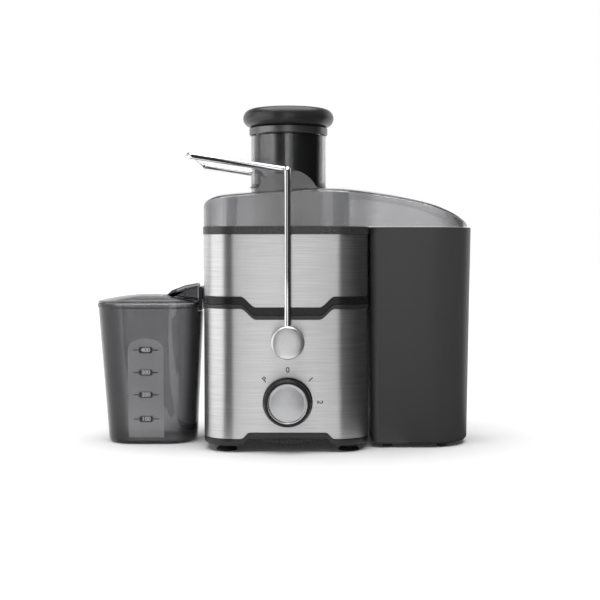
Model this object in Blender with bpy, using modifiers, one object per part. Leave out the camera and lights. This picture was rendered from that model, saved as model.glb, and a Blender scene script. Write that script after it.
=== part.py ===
"""Centrifugal juicer with a side pulp bin and a docked juice jug.

Metres, +Z up. X = 0, Y = 0 of the "drive_axis" empty is the motor's axis, the front
faces -Y, and Z = 0 is the worktop. Every separate piece is one named object.
"""
import math

import bmesh
import bpy
from mathutils import Matrix, Vector

for old in list(bpy.data.objects):
    bpy.data.objects.remove(old, do_unlink=True)

# ---------------------------------------------------------------- driving dimensions
DRIVE_X = 0.0055            # drive axis from the middle of the whole footprint
GAP = 0.0003                # clearance between pieces that touch

BODY_LEFT, BODY_RIGHT = -0.090, 0.086
BODY_HALF_DEPTH = 0.088
BODY_CORNER = 0.034
CORNER_STEPS = 6

STEEL = 0.0006              # stainless wrap
TRIM_PROUD = 0.0008         # black trims stand this far out of the steel
HOUSING_INSET = 0.0009
HOUSING_WALL = 0.0025

ARCH_IN, ARCH_OUT = 0.040, 0.049      # |X| where the arched underside starts and ends
PAN_SIDE, PAN_MIDDLE = 0.0069, 0.0136
STEEL_SIDE, STEEL_MIDDLE = 0.0148, 0.0219

WAVE_IN, WAVE_OUT = 0.033, 0.0497     # |X| where the trim's dip starts and ends
WAVE_DIP = 0.0114
TRIM_BOTTOM, TRIM_SEAM, TRIM_TOP = 0.1515, 0.1559, 0.1644
DECK_TOP = 0.155
BOWL_BOTTOM, BOWL_TOP = 0.1555, 0.2370
BOWL_WALL = 0.0022
BAND_BOTTOM, BAND_TOP = 0.2293, 0.2376

LID_RIGHT = 0.197
LID_WALL = 0.0022
LID_CROWN = 0.005
LID_BIN_HALF = 0.0625       # half depth of the lid over the bin
LID_NARROW_FROM, LID_NARROW_TO = 0.054, 0.100
LID_END_RADIUS = 0.048
LID_EDGE_LINE = ((-0.090, 0.2615), (-0.084, 0.2650), (-0.074, 0.2685), (-0.057, 0.2705),
                 (-0.010, 0.2738), (0.035, 0.2762), (0.075, 0.2744), (0.112, 0.2700),
                 (0.150, 0.2623), (0.176, 0.2528), (0.190, 0.2455), (0.197, 0.2415))

CHUTE_RADIUS, CHUTE_WALL = 0.0415, 0.003
CHUTE_BOTTOM, CHUTE_TOP = 0.190, 0.3392
PUSHER_RADIUS, PUSHER_WALL = 0.0375, 0.0022
PUSHER_BOTTOM = 0.200
COLLAR_RADIUS, COLLAR_TOP = 0.0434, 0.3473
CAP_RADIUS, CAP_TOP = 0.05035, 0.368

RAMP_HALF, RAMP_TOP = 0.0315, 0.297
RAMP_INNER, RAMP_OUTER = 0.0835, 0.0875      # |Y| of the lock ramps
NOTCH_HALF, NOTCH_FLOOR = 0.004, 0.2922

ARM_PIVOT_Z = 0.117
WIRE = 0.0035
LEG_Y, ROD_Y = 0.099, 0.078
ARM_BEND_Z = 0.2963
HANDLE_X, HANDLE_Z = -0.1035, 0.3115
PIVOT_CAP_RADIUS = 0.0175
PIVOT_CAP_INNER, PIVOT_CAP_OUTER = 0.0885, 0.106
PIN_RADIUS = 0.004

DIAL_Z = 0.0535
DIAL_RADIUS, DIAL_FACE_RADIUS = 0.02615, 0.02135
DIAL_FRONT = 0.1035

SPOUT_HALF, SPOUT_WALL = 0.017, 0.002
NECK_HALF, NECK_LOW, NECK_HIGH = 0.014, 0.158, 0.170
FLANGE_BACK, FLANGE_FRONT = -0.095, -0.099
FLANGE_HALF, FLANGE_LOW, FLANGE_HIGH = 0.0195, 0.1465, 0.172

BIN_LEFT, BIN_RIGHT, BIN_HALF = 0.0872, 0.201, 0.062
BIN_FLOOR, BIN_TOP, BIN_WALL, BIN_DRAFT = 0.004, 0.2370, 0.0025, 0.003
BIN_LEFT_RADIUS, BIN_RIGHT_RADIUS = 0.008, 0.048
BIN_STUD_X, BIN_STUD_Y, BIN_STUD_RADIUS = (0.108, 0.167), 0.044, 0.0055

JUG_TOP_BOX = (-0.212, -0.0945, 0.042, 0.037)       # left, right, half depth, corner
JUG_BOTTOM_BOX = (-0.2005, -0.102, 0.0375, 0.032)
JUG_TOP, JUG_WALL = 0.1535, 0.002
JUG_LID_RISE = 0.0085
JUG_SLOT_HALF, JUG_SLOT_LEFT = 0.0215, -0.138
JUG_NOTCH_FLOOR = 0.1445
JUG_LID_WALL = 0.0015

BASKET_BOTTOM_RADIUS, BASKET_TOP_RADIUS = 0.0508, 0.070
BASKET_FLOOR, BASKET_TOP = 0.1813, 0.222
SIEVE_SHEET = 0.0008
RIM_OUTER, RIM_INNER, RIM_TOP = 0.0745, 0.0690, 0.2283
GRATER_RADIUS = 0.049

SHAFT_RADIUS = 0.004
SHAFT_BORE = SHAFT_RADIUS + GAP       # of the pieces pressed on to the shaft

FOOT_X, FOOT_Y, FOOT_RADIUS = 0.065, 0.068, 0.01125
SCREW_LEFT, SCREW_RIGHT, SCREW_Y = -0.078, 0.074, 0.040

# ---------------------------------------------------------------- scene scaffolding
parts = bpy.data.collections.new("centrifugal_juicer")
cutters = bpy.data.collections.new("cutters")
bpy.context.scene.collection.children.link(parts)
bpy.context.scene.collection.children.link(cutters)


def add_empty(name, location, parent=None):
    """An axis that pieces hang on."""
    empty = bpy.data.objects.new(name, None)
    empty.location = location
    empty.parent = parent
    parts.objects.link(empty)
    return empty


drive_axis = add_empty("drive_axis", (DRIVE_X, 0, 0))
arm_axis = add_empty("arm_axis", (0, 0, ARM_PIVOT_Z), drive_axis)
dial_axis = add_empty("dial_axis", (0, -BODY_HALF_DEPTH, DIAL_Z), drive_axis)
bpy.context.view_layer.update()

# colour, roughness, metallic, alpha
FINISHES = {
    "black_plastic": ((0.018, 0.018, 0.020), 0.35, 0.0, 1.0),
    "charcoal_plastic": ((0.060, 0.060, 0.064), 0.45, 0.0, 1.0),
    "brushed_steel": ((0.62, 0.62, 0.63), 0.32, 1.0, 1.0),
    "satin_silver": ((0.58, 0.58, 0.58), 0.35, 1.0, 1.0),
    "chrome": ((0.75, 0.75, 0.76), 0.08, 1.0, 1.0),
    "smoky_clear": ((0.16, 0.16, 0.17), 0.08, 0.0, 0.45),
    "dark_smoky": ((0.045, 0.045, 0.048), 0.12, 0.0, 0.7),
    "rubber": ((0.010, 0.010, 0.010), 0.8, 0.0, 1.0),
    "copper": ((0.60, 0.22, 0.08), 0.4, 1.0, 1.0),
    "lamination": ((0.22, 0.22, 0.23), 0.5, 0.8, 1.0),
    "white_plastic": ((0.55, 0.55, 0.52), 0.4, 0.0, 1.0),
}


def give_material(obj, finish):
    """A Principled material of the piece's own."""
    colour, roughness, metallic, alpha = FINISHES[finish]
    material = bpy.data.materials.new(obj.name + "_" + finish)
    material.use_nodes = True
    shader = material.node_tree.nodes["Principled BSDF"]
    shader.inputs["Base Color"].default_value = (*colour, 1)
    shader.inputs["Roughness"].default_value = roughness
    shader.inputs["Metallic"].default_value = metallic
    shader.inputs["Alpha"].default_value = alpha
    obj.data.materials.append(material)


def add_node(name, shape, finish, parent=drive_axis):
    """Turn a bmesh into a named piece on its axis."""
    mesh = bpy.data.meshes.new(name)
    shape.to_mesh(mesh)
    shape.free()
    obj = bpy.data.objects.new(name, mesh)
    obj.parent = parent
    give_material(obj, finish)
    parts.objects.link(obj)
    return obj


def add_cutter(name, shape, parent=drive_axis):
    """Turn a bmesh into a hidden Boolean tool."""
    mesh = bpy.data.meshes.new(name)
    shape.to_mesh(mesh)
    shape.free()
    obj = bpy.data.objects.new(name, mesh)
    obj.parent = parent
    obj.hide_render = True
    obj.display_type = "WIRE"
    cutters.objects.link(obj)
    return obj


def combine(obj, tool, operation="DIFFERENCE"):
    boolean = obj.modifiers.new(operation.lower() + "_" + tool.name, "BOOLEAN")
    boolean.object = tool
    boolean.operation = operation
    boolean.solver = "EXACT"


def thicken(obj, thickness):
    """Give an open surface its wall, on the inner side."""
    wall = obj.modifiers.new("wall", "SOLIDIFY")
    wall.thickness = thickness
    wall.offset = -1
    wall.use_even_offset = True


def block(low, high):
    shape = bmesh.new()
    bmesh.ops.create_cube(shape, size=1)
    size = Vector(high) - Vector(low)
    middle = (Vector(high) + Vector(low)) / 2
    bmesh.ops.transform(shape, verts=shape.verts,
                        matrix=Matrix.Translation(middle) @ Matrix.Diagonal((*size, 1)))
    return shape


def rod(radius, low, high, along_y=False, sides=24):
    """A cylinder between two points on an upright line, or on a line along Y."""
    shape = bmesh.new()
    low, high = Vector(low), Vector(high)
    bmesh.ops.create_cone(shape, cap_ends=True, segments=sides, radius1=radius,
                          radius2=radius, depth=(high - low).length)
    if along_y:
        bmesh.ops.rotate(shape, verts=shape.verts, cent=(0, 0, 0),
                         matrix=Matrix.Rotation(math.pi / 2, 3, "X"))
    bmesh.ops.translate(shape, verts=shape.verts, vec=(low + high) / 2)
    return shape


def turned(name, profile, finish, parent=drive_axis, closed=False, steps=36, along="Z"):
    """A lathe shape: (radius, height) down the outer side, top to bottom."""
    mesh = bpy.data.meshes.new(name)
    count = len(profile)
    edges = [(i, i + 1) for i in range(count - 1)]
    if closed:
        edges.append((count - 1, 0))
    mesh.from_pydata([(radius, 0, height) for radius, height in profile], edges, [])
    obj = bpy.data.objects.new(name, mesh)
    obj.parent = parent
    give_material(obj, finish)
    parts.objects.link(obj)
    screw = obj.modifiers.new("turn", "SCREW")
    screw.steps = steps
    screw.render_steps = steps
    screw.use_merge_vertices = True
    screw.merge_threshold = 0.00001
    screw.use_smooth_shade = True
    if along == "-Y":
        obj.rotation_euler = (math.pi / 2, 0, 0)
    if along == "+Y":
        obj.rotation_euler = (-math.pi / 2, 0, 0)
    return obj


def arc(centre, radius, start, end, steps):
    """Points on an arc, angles in degrees, both ends included."""
    points = []
    for i in range(steps + 1):
        angle = math.radians(start + (end - start) * i / steps)
        points.append((centre[0] + radius * math.cos(angle),
                       centre[1] + radius * math.sin(angle)))
    return points


def rounded_box(left, right, half, left_radius, right_radius, stations=()):
    """Counter-clockwise outline; stations are extra X values on its long sides."""
    inner_left, inner_right = left + left_radius, right - right_radius
    front = [(x, -half) for x in sorted(stations)]
    back = [(x, half) for x in sorted(stations, reverse=True)]
    return (arc((inner_left, -half + left_radius), left_radius, 180, 270, CORNER_STEPS)
            + front
            + arc((inner_right, -half + right_radius), right_radius, 270, 360, CORNER_STEPS)
            + arc((inner_right, half - right_radius), right_radius, 0, 90, CORNER_STEPS)
            + back
            + arc((inner_left, half - left_radius), left_radius, 90, 180, CORNER_STEPS))


def smooth_step(value):
    value = min(max(value, 0), 1)
    return value * value * (3 - 2 * value)


WAVE_STATIONS = [side * (WAVE_IN + (WAVE_OUT - WAVE_IN) * i / 3)
                 for side in (-1, 1) for i in range(4)]


def body_outline(offset):
    """The body's plan, grown by offset, with points where trim and arch turn."""
    arch = [side * x for side in (-1, 1) for x in (ARCH_IN, ARCH_OUT)]
    return rounded_box(BODY_LEFT - offset, BODY_RIGHT + offset, BODY_HALF_DEPTH + offset,
                       BODY_CORNER + offset, BODY_CORNER + offset,
                       set(WAVE_STATIONS + arch))


def wave(level):
    """Height of a trim line that dips in the middle of the front and back."""
    def height(x, y):
        return level - WAVE_DIP * smooth_step((WAVE_OUT - abs(x)) / (WAVE_OUT - WAVE_IN))
    return height


def arch_line(side, middle):
    """Height of a line that rises over the arched middle of the underside."""
    def height(x, y):
        share = min(max((ARCH_OUT - abs(x)) / (ARCH_OUT - ARCH_IN), 0), 1)
        return side + (middle - side) * share
    return height


def level(z):
    return lambda x, y: z


def prism(outline, bottom, top, top_outline=None, drop=()):
    """Closed prism between two height functions; drop names the caps left open."""
    shape = bmesh.new()
    base = shape.faces.new([shape.verts.new((x, y, 0)) for x, y in outline])
    raised = bmesh.ops.extrude_face_region(shape, geom=[base])["geom"]
    top_verts = [item for item in raised if isinstance(item, bmesh.types.BMVert)]
    bmesh.ops.translate(shape, verts=top_verts, vec=(0, 0, 0.01))
    bmesh.ops.recalc_face_normals(shape, faces=shape.faces)
    shape.verts.index_update()
    shape.faces.ensure_lookup_table()
    caps = {"top": [f for f in shape.faces if f.normal.z > 0.9],
            "bottom": [f for f in shape.faces if f.normal.z < -0.9]}
    upper = {vert.index for vert in top_verts}
    targets = dict(zip([(round(x, 7), round(y, 7)) for x, y in outline],
                       top_outline or outline))
    for vert in shape.verts:
        key = (round(vert.co.x, 7), round(vert.co.y, 7))
        if vert.index in upper:
            vert.co.x, vert.co.y = targets.get(key, key)
            vert.co.z = top(vert.co.x, vert.co.y)
        else:
            vert.co.z = bottom(vert.co.x, vert.co.y)
    for cap in drop:
        bmesh.ops.delete(shape, geom=caps[cap], context="FACES_ONLY")
    return shape


def column_grid(columns, half_width, rows, cap, edge, upward):
    """An open shell: a grid over X columns with a wall along its border."""
    shape = bmesh.new()
    bmesh.ops.create_grid(shape, x_segments=len(columns) - 1, y_segments=rows, size=1)
    order = sorted({round(vert.co.x, 5) for vert in shape.verts})
    for vert in shape.verts:
        x = columns[order.index(round(vert.co.x, 5))]
        across = vert.co.y
        vert.co = (x, across * half_width(x), cap(x, across))
    border = [item for item in shape.edges if item.is_boundary]
    raised = bmesh.ops.extrude_edge_only(shape, edges=border)["geom"]
    for item in raised:
        if isinstance(item, bmesh.types.BMVert):
            item.co.z = edge(item.co.x, item.co.y)
    bmesh.ops.recalc_face_normals(shape, faces=shape.faces)
    cap_face = max(shape.faces, key=lambda f: abs(f.normal.z) * f.calc_area())
    if (cap_face.normal.z > 0) != upward:
        bmesh.ops.reverse_faces(shape, faces=shape.faces)
    return shape


def interpolate(line, x):
    """Height on a smooth line through a few (x, z) points."""
    for i in range(len(line) - 1):
        (x0, z0), (x1, z1) = line[i], line[i + 1]
        if x <= x1 or i == len(line) - 2:
            before = line[max(i - 1, 0)]
            after = line[min(i + 2, len(line) - 1)]
            slope0 = (z1 - before[1]) / (x1 - before[0])
            slope1 = (after[1] - z0) / (after[0] - x0)
            t = min(max((x - x0) / (x1 - x0), 0), 1)
            return ((2 * t**3 - 3 * t**2 + 1) * z0 + (t**3 - 2 * t**2 + t) * slope0 * (x1 - x0)
                    + (3 * t**2 - 2 * t**3) * z1 + (t**3 - t**2) * slope1 * (x1 - x0))


def filleted(corners, radius, steps, cyclic=False):
    """A path through corners, each rounded by an arc of about the given radius."""
    corners = [Vector(corner) for corner in corners]
    count = len(corners)
    path = [] if cyclic else [corners[0]]
    for i in range(0 if cyclic else 1, count if cyclic else count - 1):
        before, here, after = corners[i - 1], corners[i], corners[(i + 1) % count]
        inward, outward = (before - here).normalized(), (after - here).normalized()
        reach = radius / math.tan(inward.angle(outward) / 2)
        start, end = here + inward * reach, here + outward * reach
        for j in range(steps + 1):
            t = j / steps
            path.append((1 - t)**2 * start + 2 * t * (1 - t) * here + t**2 * end)
    if not cyclic:
        path.append(corners[-1])
    return path


def wire(name, path, radius, finish, parent, cyclic=False):
    """A bent wire: a poly curve with a round section."""
    curve = bpy.data.curves.new(name, "CURVE")
    curve.dimensions = "3D"
    spline = curve.splines.new("POLY")
    spline.points.add(len(path) - 1)
    for point, place in zip(spline.points, path):
        point.co = (*place, 1)
    spline.use_cyclic_u = cyclic
    curve.bevel_depth = radius
    curve.bevel_resolution = 2
    curve.use_fill_caps = not cyclic
    obj = bpy.data.objects.new(name, curve)
    obj.parent = parent
    give_material(obj, finish)
    parts.objects.link(obj)
    return obj


# ---------------------------------------------------------------- motor base: casings
left_corner = [x for x, y in arc((BODY_LEFT + BODY_CORNER, 0), BODY_CORNER, 180, 90, 3)]
right_corner = [x for x, y in arc((BODY_RIGHT - BODY_CORNER, 0), BODY_CORNER, 90, 0, 3)]
pan_columns = left_corner + [-ARCH_OUT, -ARCH_IN, ARCH_IN, ARCH_OUT] + right_corner


def body_half_width(x):
    """Half depth of the body's plan at X."""
    reach = max(BODY_LEFT + BODY_CORNER - x, x - (BODY_RIGHT - BODY_CORNER), 0)
    return BODY_HALF_DEPTH - BODY_CORNER + math.sqrt(max(BODY_CORNER**2 - reach**2, 0))


pan_line = arch_line(PAN_SIDE, PAN_MIDDLE)
steel_line = arch_line(STEEL_SIDE, STEEL_MIDDLE)
base_bottom = add_node("base_bottom", column_grid(
    pan_columns, body_half_width, 2, lambda x, across: pan_line(x, 0),
    lambda x, y: steel_line(x, y) - GAP, upward=False), "black_plastic")
thicken(base_bottom, HOUSING_WALL)
VENT_PITCH, VENT_HALF_WIDTH, VENT_HALF_LENGTH = 0.009, 0.0015, 0.028
for i in range(-2, 3):
    slot = block((VENT_PITCH * i - VENT_HALF_WIDTH, -VENT_HALF_LENGTH, 0.008),
                 (VENT_PITCH * i + VENT_HALF_WIDTH, VENT_HALF_LENGTH, 0.022))
    combine(base_bottom, add_cutter(f"vent_{i + 2}", slot))

base_housing = add_node("base_housing", prism(
    body_outline(-HOUSING_INSET), steel_line, level(DECK_TOP), drop=["bottom"]),
    "black_plastic")
thicken(base_housing, HOUSING_WALL)

POST_RADIUS, SCREW_HOLE = 0.004, 0.0019
screw_places = [(x, y) for x in (SCREW_LEFT, SCREW_RIGHT) for y in (-SCREW_Y, SCREW_Y)]
for number, (x, y) in enumerate(screw_places, 1):
    post = rod(POST_RADIUS, (x, y, 0.012), (x, y, DECK_TOP - 0.001), sides=16)
    combine(base_housing, add_cutter(f"post_{number}", post), "UNION")
    hole = rod(SCREW_HOLE, (x, y, 0.005), (x, y, 0.024), sides=12)
    screw_hole = add_cutter(f"screw_hole_{number}", hole)
    combine(base_housing, screw_hole)
    combine(base_bottom, screw_hole)
    screw = turned(f"base_screw_{number}",
                   [(0, 0.0215), (0.0012, 0.0215), (0.0016, 0.0205), (0.0016, 0.0066),
                    (0.0034, 0.0066), (0.0034, 0.0056), (0.0024, 0.0046), (0, 0.0046)],
                   "brushed_steel", steps=12)
    screw.location = (x, y, 0)

shaft_hole = add_cutter("shaft_hole", rod(0.0095, (0, 0, 0.14), (0, 0, 0.16)))
combine(base_housing, shaft_hole)

lower_steel_wrap = add_node("lower_steel_wrap", prism(
    body_outline(0), steel_line, lambda x, y: wave(TRIM_BOTTOM)(x, y) - GAP,
    drop=["top", "bottom"]), "brushed_steel")
thicken(lower_steel_wrap, STEEL)

base_top_trim = add_node("base_top_trim", prism(
    body_outline(TRIM_PROUD), wave(TRIM_BOTTOM), lambda x, y: wave(TRIM_SEAM)(x, y) - GAP,
    drop=["top", "bottom"]), "black_plastic")
thicken(base_top_trim, TRIM_PROUD + STEEL)

foot_number = 0
for x in (-FOOT_X, FOOT_X):
    for y in (-FOOT_Y, FOOT_Y):
        foot_number += 1
        foot = turned(f"foot_{foot_number}",
                      [(0, 0.0066), (0.008, 0.0066), (0.0075, 0.0045), (0.0085, 0.0035),
                       (FOOT_RADIUS, 0.0018), (FOOT_RADIUS, 0.0), (0.0, 0.0)],
                      "rubber", steps=16)
        foot.location = (x, y, 0)

# ---------------------------------------------------------------- motor base: motor
MOTOR_HALF_X, MOTOR_HALF_Y = 0.036, 0.031
STATOR_BORE = 0.0222
STATOR_LOW, STATOR_HIGH = 0.058, 0.098
COIL_X, COIL_Y = 0.027, 0.018
COIL_LOW, COIL_HIGH = 0.051, 0.105
motor_stator = add_node("motor_stator", prism(
    rounded_box(-MOTOR_HALF_X, MOTOR_HALF_X, MOTOR_HALF_Y, 0.009, 0.009),
    level(STATOR_LOW), level(STATOR_HIGH)), "lamination")
stator_bore = rod(STATOR_BORE, (0, 0, 0.05), (0, 0, 0.11), sides=32)
combine(motor_stator, add_cutter("stator_bore", stator_bore))
for side, name in ((-1, "left"), (1, "right")):
    for across in (-1, 1):
        window = rod(0.0045, (side * COIL_X, across * COIL_Y, 0.05),
                     (side * COIL_X, across * COIL_Y, 0.11), sides=12)
        combine(motor_stator, add_cutter(f"coil_window_{name}_{across + 1}", window))
    x = side * COIL_X
    loop = filleted([(x, -COIL_Y, COIL_LOW), (x, COIL_Y, COIL_LOW),
                     (x, COIL_Y, COIL_HIGH), (x, -COIL_Y, COIL_HIGH)], 0.006, 3, cyclic=True)
    wire(f"field_coil_{name}", loop, 0.004, "copper", drive_axis, cyclic=True)

BRACKET_HALF, BRACKET_HALF_WIDTH, BRACKET_PLATE = 0.068, 0.014, 0.003
bracket_outline = rounded_box(-BRACKET_HALF, BRACKET_HALF, BRACKET_HALF_WIDTH, 0.006, 0.006)
# each bracket's height and its bearing's seat radius
for name, low, seat in (("top", 0.118, 0.0113), ("bottom", 0.038, 0.0083)):
    bracket = add_node(f"motor_bracket_{name}", prism(
        bracket_outline, level(low), level(low + BRACKET_PLATE)), "brushed_steel")
    seat_cut = rod(seat, (0, 0, low - 0.01), (0, 0, low + 0.01))
    combine(bracket, add_cutter(f"seat_{name}", seat_cut))
    turned(f"bearing_{name}",
           [(seat - GAP, low + 0.005), (seat - GAP, low - 0.002), (SHAFT_BORE, low - 0.002),
            (SHAFT_BORE, low + 0.005)], "chrome", closed=True, steps=24)

BRUSH_INNER, BRUSH_OUTER, BRUSH_HALF = 0.0125, 0.033, 0.005
BRUSH_LOW, BRUSH_HIGH = 0.1050, 0.1130
for side, name in ((-1, "front"), (1, "rear")):
    low, high = sorted((side * BRUSH_INNER, side * BRUSH_OUTER))
    add_node(f"brush_holder_{name}", block((-BRUSH_HALF, low, BRUSH_LOW),
                                           (BRUSH_HALF, high, BRUSH_HIGH)), "copper")

turned("shaft_seal", [(0.009, 0.1565), (0.009, 0.151), (0.0044, 0.151), (0.0044, 0.1565)],
       "rubber", closed=True, steps=24)

rotary_switch = add_node("rotary_switch", block((-0.016, -0.083, 0.040),
                                                (0.016, -0.064, 0.067)), "white_plastic")
switch_bore = rod(0.0034, (0, -0.09, DIAL_Z), (0, -0.070, DIAL_Z), along_y=True, sides=16)
combine(rotary_switch, add_cutter("switch_bore", switch_bore))
add_node("interlock_switch", block((-0.010, 0.060, 0.126), (0.010, 0.070, 0.146)),
         "white_plastic")
cord_gland = turned("cord_gland",
                    [(0.0045, 0.006), (0.008, 0.006), (0.009, 0.004), (0.009, 0.0),
                     (0.0062, 0.0), (0.0062, -0.009), (0.0045, -0.009)],
                    "rubber", closed=True, steps=20, along="+Y")
CORD_X, CORD_Z = 0.045, 0.040
cord_gland.location = (CORD_X, BODY_HALF_DEPTH + GAP, CORD_Z)
cord_hole = add_cutter("cord_hole", rod(0.0066, (CORD_X, 0.08, CORD_Z),
                                        (CORD_X, 0.10, CORD_Z), along_y=True))
dial_hole = add_cutter("dial_hole", rod(0.0036, (0, -0.10, DIAL_Z), (0, -0.08, DIAL_Z),
                                        along_y=True, sides=16))
pin_hole = add_cutter("pin_hole", rod(PIN_RADIUS + GAP, (0, -0.10, ARM_PIVOT_Z),
                                      (0, 0.10, ARM_PIVOT_Z), along_y=True, sides=16))
for casing in (base_housing, lower_steel_wrap):
    for hole in (cord_hole, dial_hole, pin_hole):
        combine(casing, hole)

for along, name in (("-Y", "front"), ("+Y", "rear")):
    pin = turned(f"pivot_pin_{name}",
                 [(0, 0.0945), (0.0032, 0.0945), (PIN_RADIUS, 0.0937), (PIN_RADIUS, 0.083),
                  (0.0085, 0.083), (0.0085, 0.078), (0, 0.078)],
                 "brushed_steel", steps=16, along=along)
    pin.location = (0, 0, ARM_PIVOT_Z)

# ---------------------------------------------------------------- juice collector
collector_bowl = add_node("collector_bowl", prism(
    body_outline(-HOUSING_INSET), level(BOWL_BOTTOM), level(BOWL_TOP), drop=["top"]),
    "charcoal_plastic")
thicken(collector_bowl, BOWL_WALL)
CHIMNEY_RADIUS, CHIMNEY_BORE, CHIMNEY_TOP = 0.0225, 0.0202, 0.170
chimney = rod(CHIMNEY_RADIUS, (0, 0, BOWL_BOTTOM + 0.0005), (0, 0, CHIMNEY_TOP), sides=32)
combine(collector_bowl, add_cutter("chimney", chimney), "UNION")
chimney_bore = rod(CHIMNEY_BORE, (0, 0, 0.15), (0, 0, 0.18), sides=32)
combine(collector_bowl, add_cutter("chimney_bore", chimney_bore))

collector_trim = add_node("collector_trim", prism(
    body_outline(TRIM_PROUD), wave(TRIM_SEAM), lambda x, y: wave(TRIM_TOP)(x, y) - GAP,
    drop=["top", "bottom"]), "black_plastic")
thicken(collector_trim, TRIM_PROUD + STEEL)

upper_steel_wrap = add_node("upper_steel_wrap", prism(
    body_outline(0), wave(TRIM_TOP), level(BAND_BOTTOM - GAP), drop=["top", "bottom"]),
    "brushed_steel")
thicken(upper_steel_wrap, STEEL)

rim_band = add_node("rim_band", prism(
    body_outline(TRIM_PROUD), level(BAND_BOTTOM), level(BAND_TOP), drop=["top", "bottom"]),
    "black_plastic")
thicken(rim_band, TRIM_PROUD + STEEL)

neck_passage = add_cutter("neck_passage", block(
    (-0.095, -NECK_HALF - GAP, NECK_LOW - GAP), (-0.080, NECK_HALF + GAP, NECK_HIGH + GAP)))
for casing in (collector_bowl, collector_trim, upper_steel_wrap):
    combine(casing, neck_passage)

spout_flange = add_node("spout_flange", block(
    (FLANGE_FRONT, -FLANGE_HALF, FLANGE_LOW), (FLANGE_BACK, FLANGE_HALF, FLANGE_HIGH)),
    "black_plastic")
neck = block((FLANGE_BACK - 0.001, -NECK_HALF, NECK_LOW), (-0.086, NECK_HALF, NECK_HIGH))
combine(spout_flange, add_cutter("neck", neck), "UNION")
channel = block((-0.102, -NECK_HALF + SPOUT_WALL, NECK_LOW + SPOUT_WALL),
                (-0.080, NECK_HALF - SPOUT_WALL, NECK_HIGH - SPOUT_WALL))
combine(spout_flange, add_cutter("channel", channel))

# side view of the nozzle: (x, z), flange end first, then out over the top to the lip
NOZZLE = ((-0.1003, 0.1518), (-0.1003, 0.1760), (-0.1150, 0.1733), (-0.1293, 0.1680),
          (-0.1347, 0.1631), (-0.1163, 0.1560))


def nozzle_shape():
    """Side outline pushed to the spout's width, open at the flange and at the lip."""
    shape = bmesh.new()
    side = shape.faces.new([shape.verts.new((x, -SPOUT_HALF, z)) for x, z in NOZZLE])
    raised = bmesh.ops.extrude_face_region(shape, geom=[side])["geom"]
    verts = [item for item in raised if isinstance(item, bmesh.types.BMVert)]
    bmesh.ops.translate(shape, verts=verts, vec=(0, 2 * SPOUT_HALF, 0))
    bmesh.ops.recalc_face_normals(shape, faces=shape.faces)
    flange_end = [f for f in shape.faces if f.normal.x > 0.9]
    lip = [f for f in shape.faces if f.normal.z < -0.5 and f.calc_center_median().x < -0.12]
    bmesh.ops.delete(shape, geom=flange_end + lip, context="FACES_ONLY")
    return shape


spout_nozzle = add_node("spout_nozzle", nozzle_shape(), "smoky_clear")
thicken(spout_nozzle, SPOUT_WALL)

# ---------------------------------------------------------------- lid and feed chute


def lid_half_width(x):
    """The lid follows the body's plan, then narrows to the bin and ends in a curve."""
    if x < BODY_LEFT + BODY_CORNER:
        return body_half_width(x)
    share = smooth_step((x - LID_NARROW_FROM) / (LID_NARROW_TO - LID_NARROW_FROM))
    width = BODY_HALF_DEPTH + (LID_BIN_HALF - BODY_HALF_DEPTH) * share
    reach = x - (LID_RIGHT - LID_END_RADIUS)
    if reach > 0:
        width += math.sqrt(max(LID_END_RADIUS**2 - reach**2, 0)) - LID_END_RADIUS
    return width


def lid_roof(x, across):
    fade = smooth_step((LID_RIGHT - x) / 0.12)
    return interpolate(LID_EDGE_LINE, x) + LID_CROWN * fade * (1 - across * across)


lid_columns = left_corner + [-0.028 + 0.028 * i for i in range(3)]
lid_columns += [LID_NARROW_FROM + 0.0115 * i for i in range(5)] + [0.125]
lid_columns += [x for x, y in arc((LID_RIGHT - LID_END_RADIUS, 0), LID_END_RADIUS, 90, 0, 4)]
lid_cover = add_node("lid_cover", column_grid(
    lid_columns, lid_half_width, 4, lid_roof, level(BAND_TOP + GAP), upward=True),
    "smoky_clear")
thicken(lid_cover, LID_WALL)
chute_hole = rod(CHUTE_RADIUS + GAP, (0, 0, 0.23), (0, 0, 0.30), sides=40)
combine(lid_cover, add_cutter("chute_hole", chute_hole))

turned("feed_chute", [(CHUTE_RADIUS, CHUTE_TOP), (CHUTE_RADIUS, CHUTE_BOTTOM),
                      (CHUTE_RADIUS - CHUTE_WALL, CHUTE_BOTTOM),
                      (CHUTE_RADIUS - CHUTE_WALL, CHUTE_TOP)],
       "smoky_clear", closed=True, steps=40)


def ramp_outline():
    """Half-moon cam plate with a notch that the wire drops into."""
    rise = RAMP_TOP - 0.274
    radius = (RAMP_HALF**2 + rise**2) / (2 * rise)
    limit = ARM_BEND_Z - ARM_PIVOT_Z - WIRE - 0.0004
    right = [(RAMP_HALF * i / 7, 0) for i in range(7, 0, -1) if RAMP_HALF * i / 7 > NOTCH_HALF]
    points = []
    for x, _ in right + [(NOTCH_HALF, 0)]:
        points.append((x, RAMP_TOP - radius + math.sqrt(radius**2 - x * x)))
    points.append((NOTCH_HALF, NOTCH_FLOOR))
    for i in range(8):
        x = -RAMP_HALF * i / 7
        moon = RAMP_TOP - radius + math.sqrt(radius**2 - x * x)
        points.append((x, min(moon, NOTCH_FLOOR, ARM_PIVOT_Z + math.sqrt(limit**2 - x * x))))
    foot = [-RAMP_HALF, -0.0125, 0.010, RAMP_HALF]
    return points + [(x, lid_roof(x, RAMP_INNER / BODY_HALF_DEPTH) + 2 * GAP) for x in foot]


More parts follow.
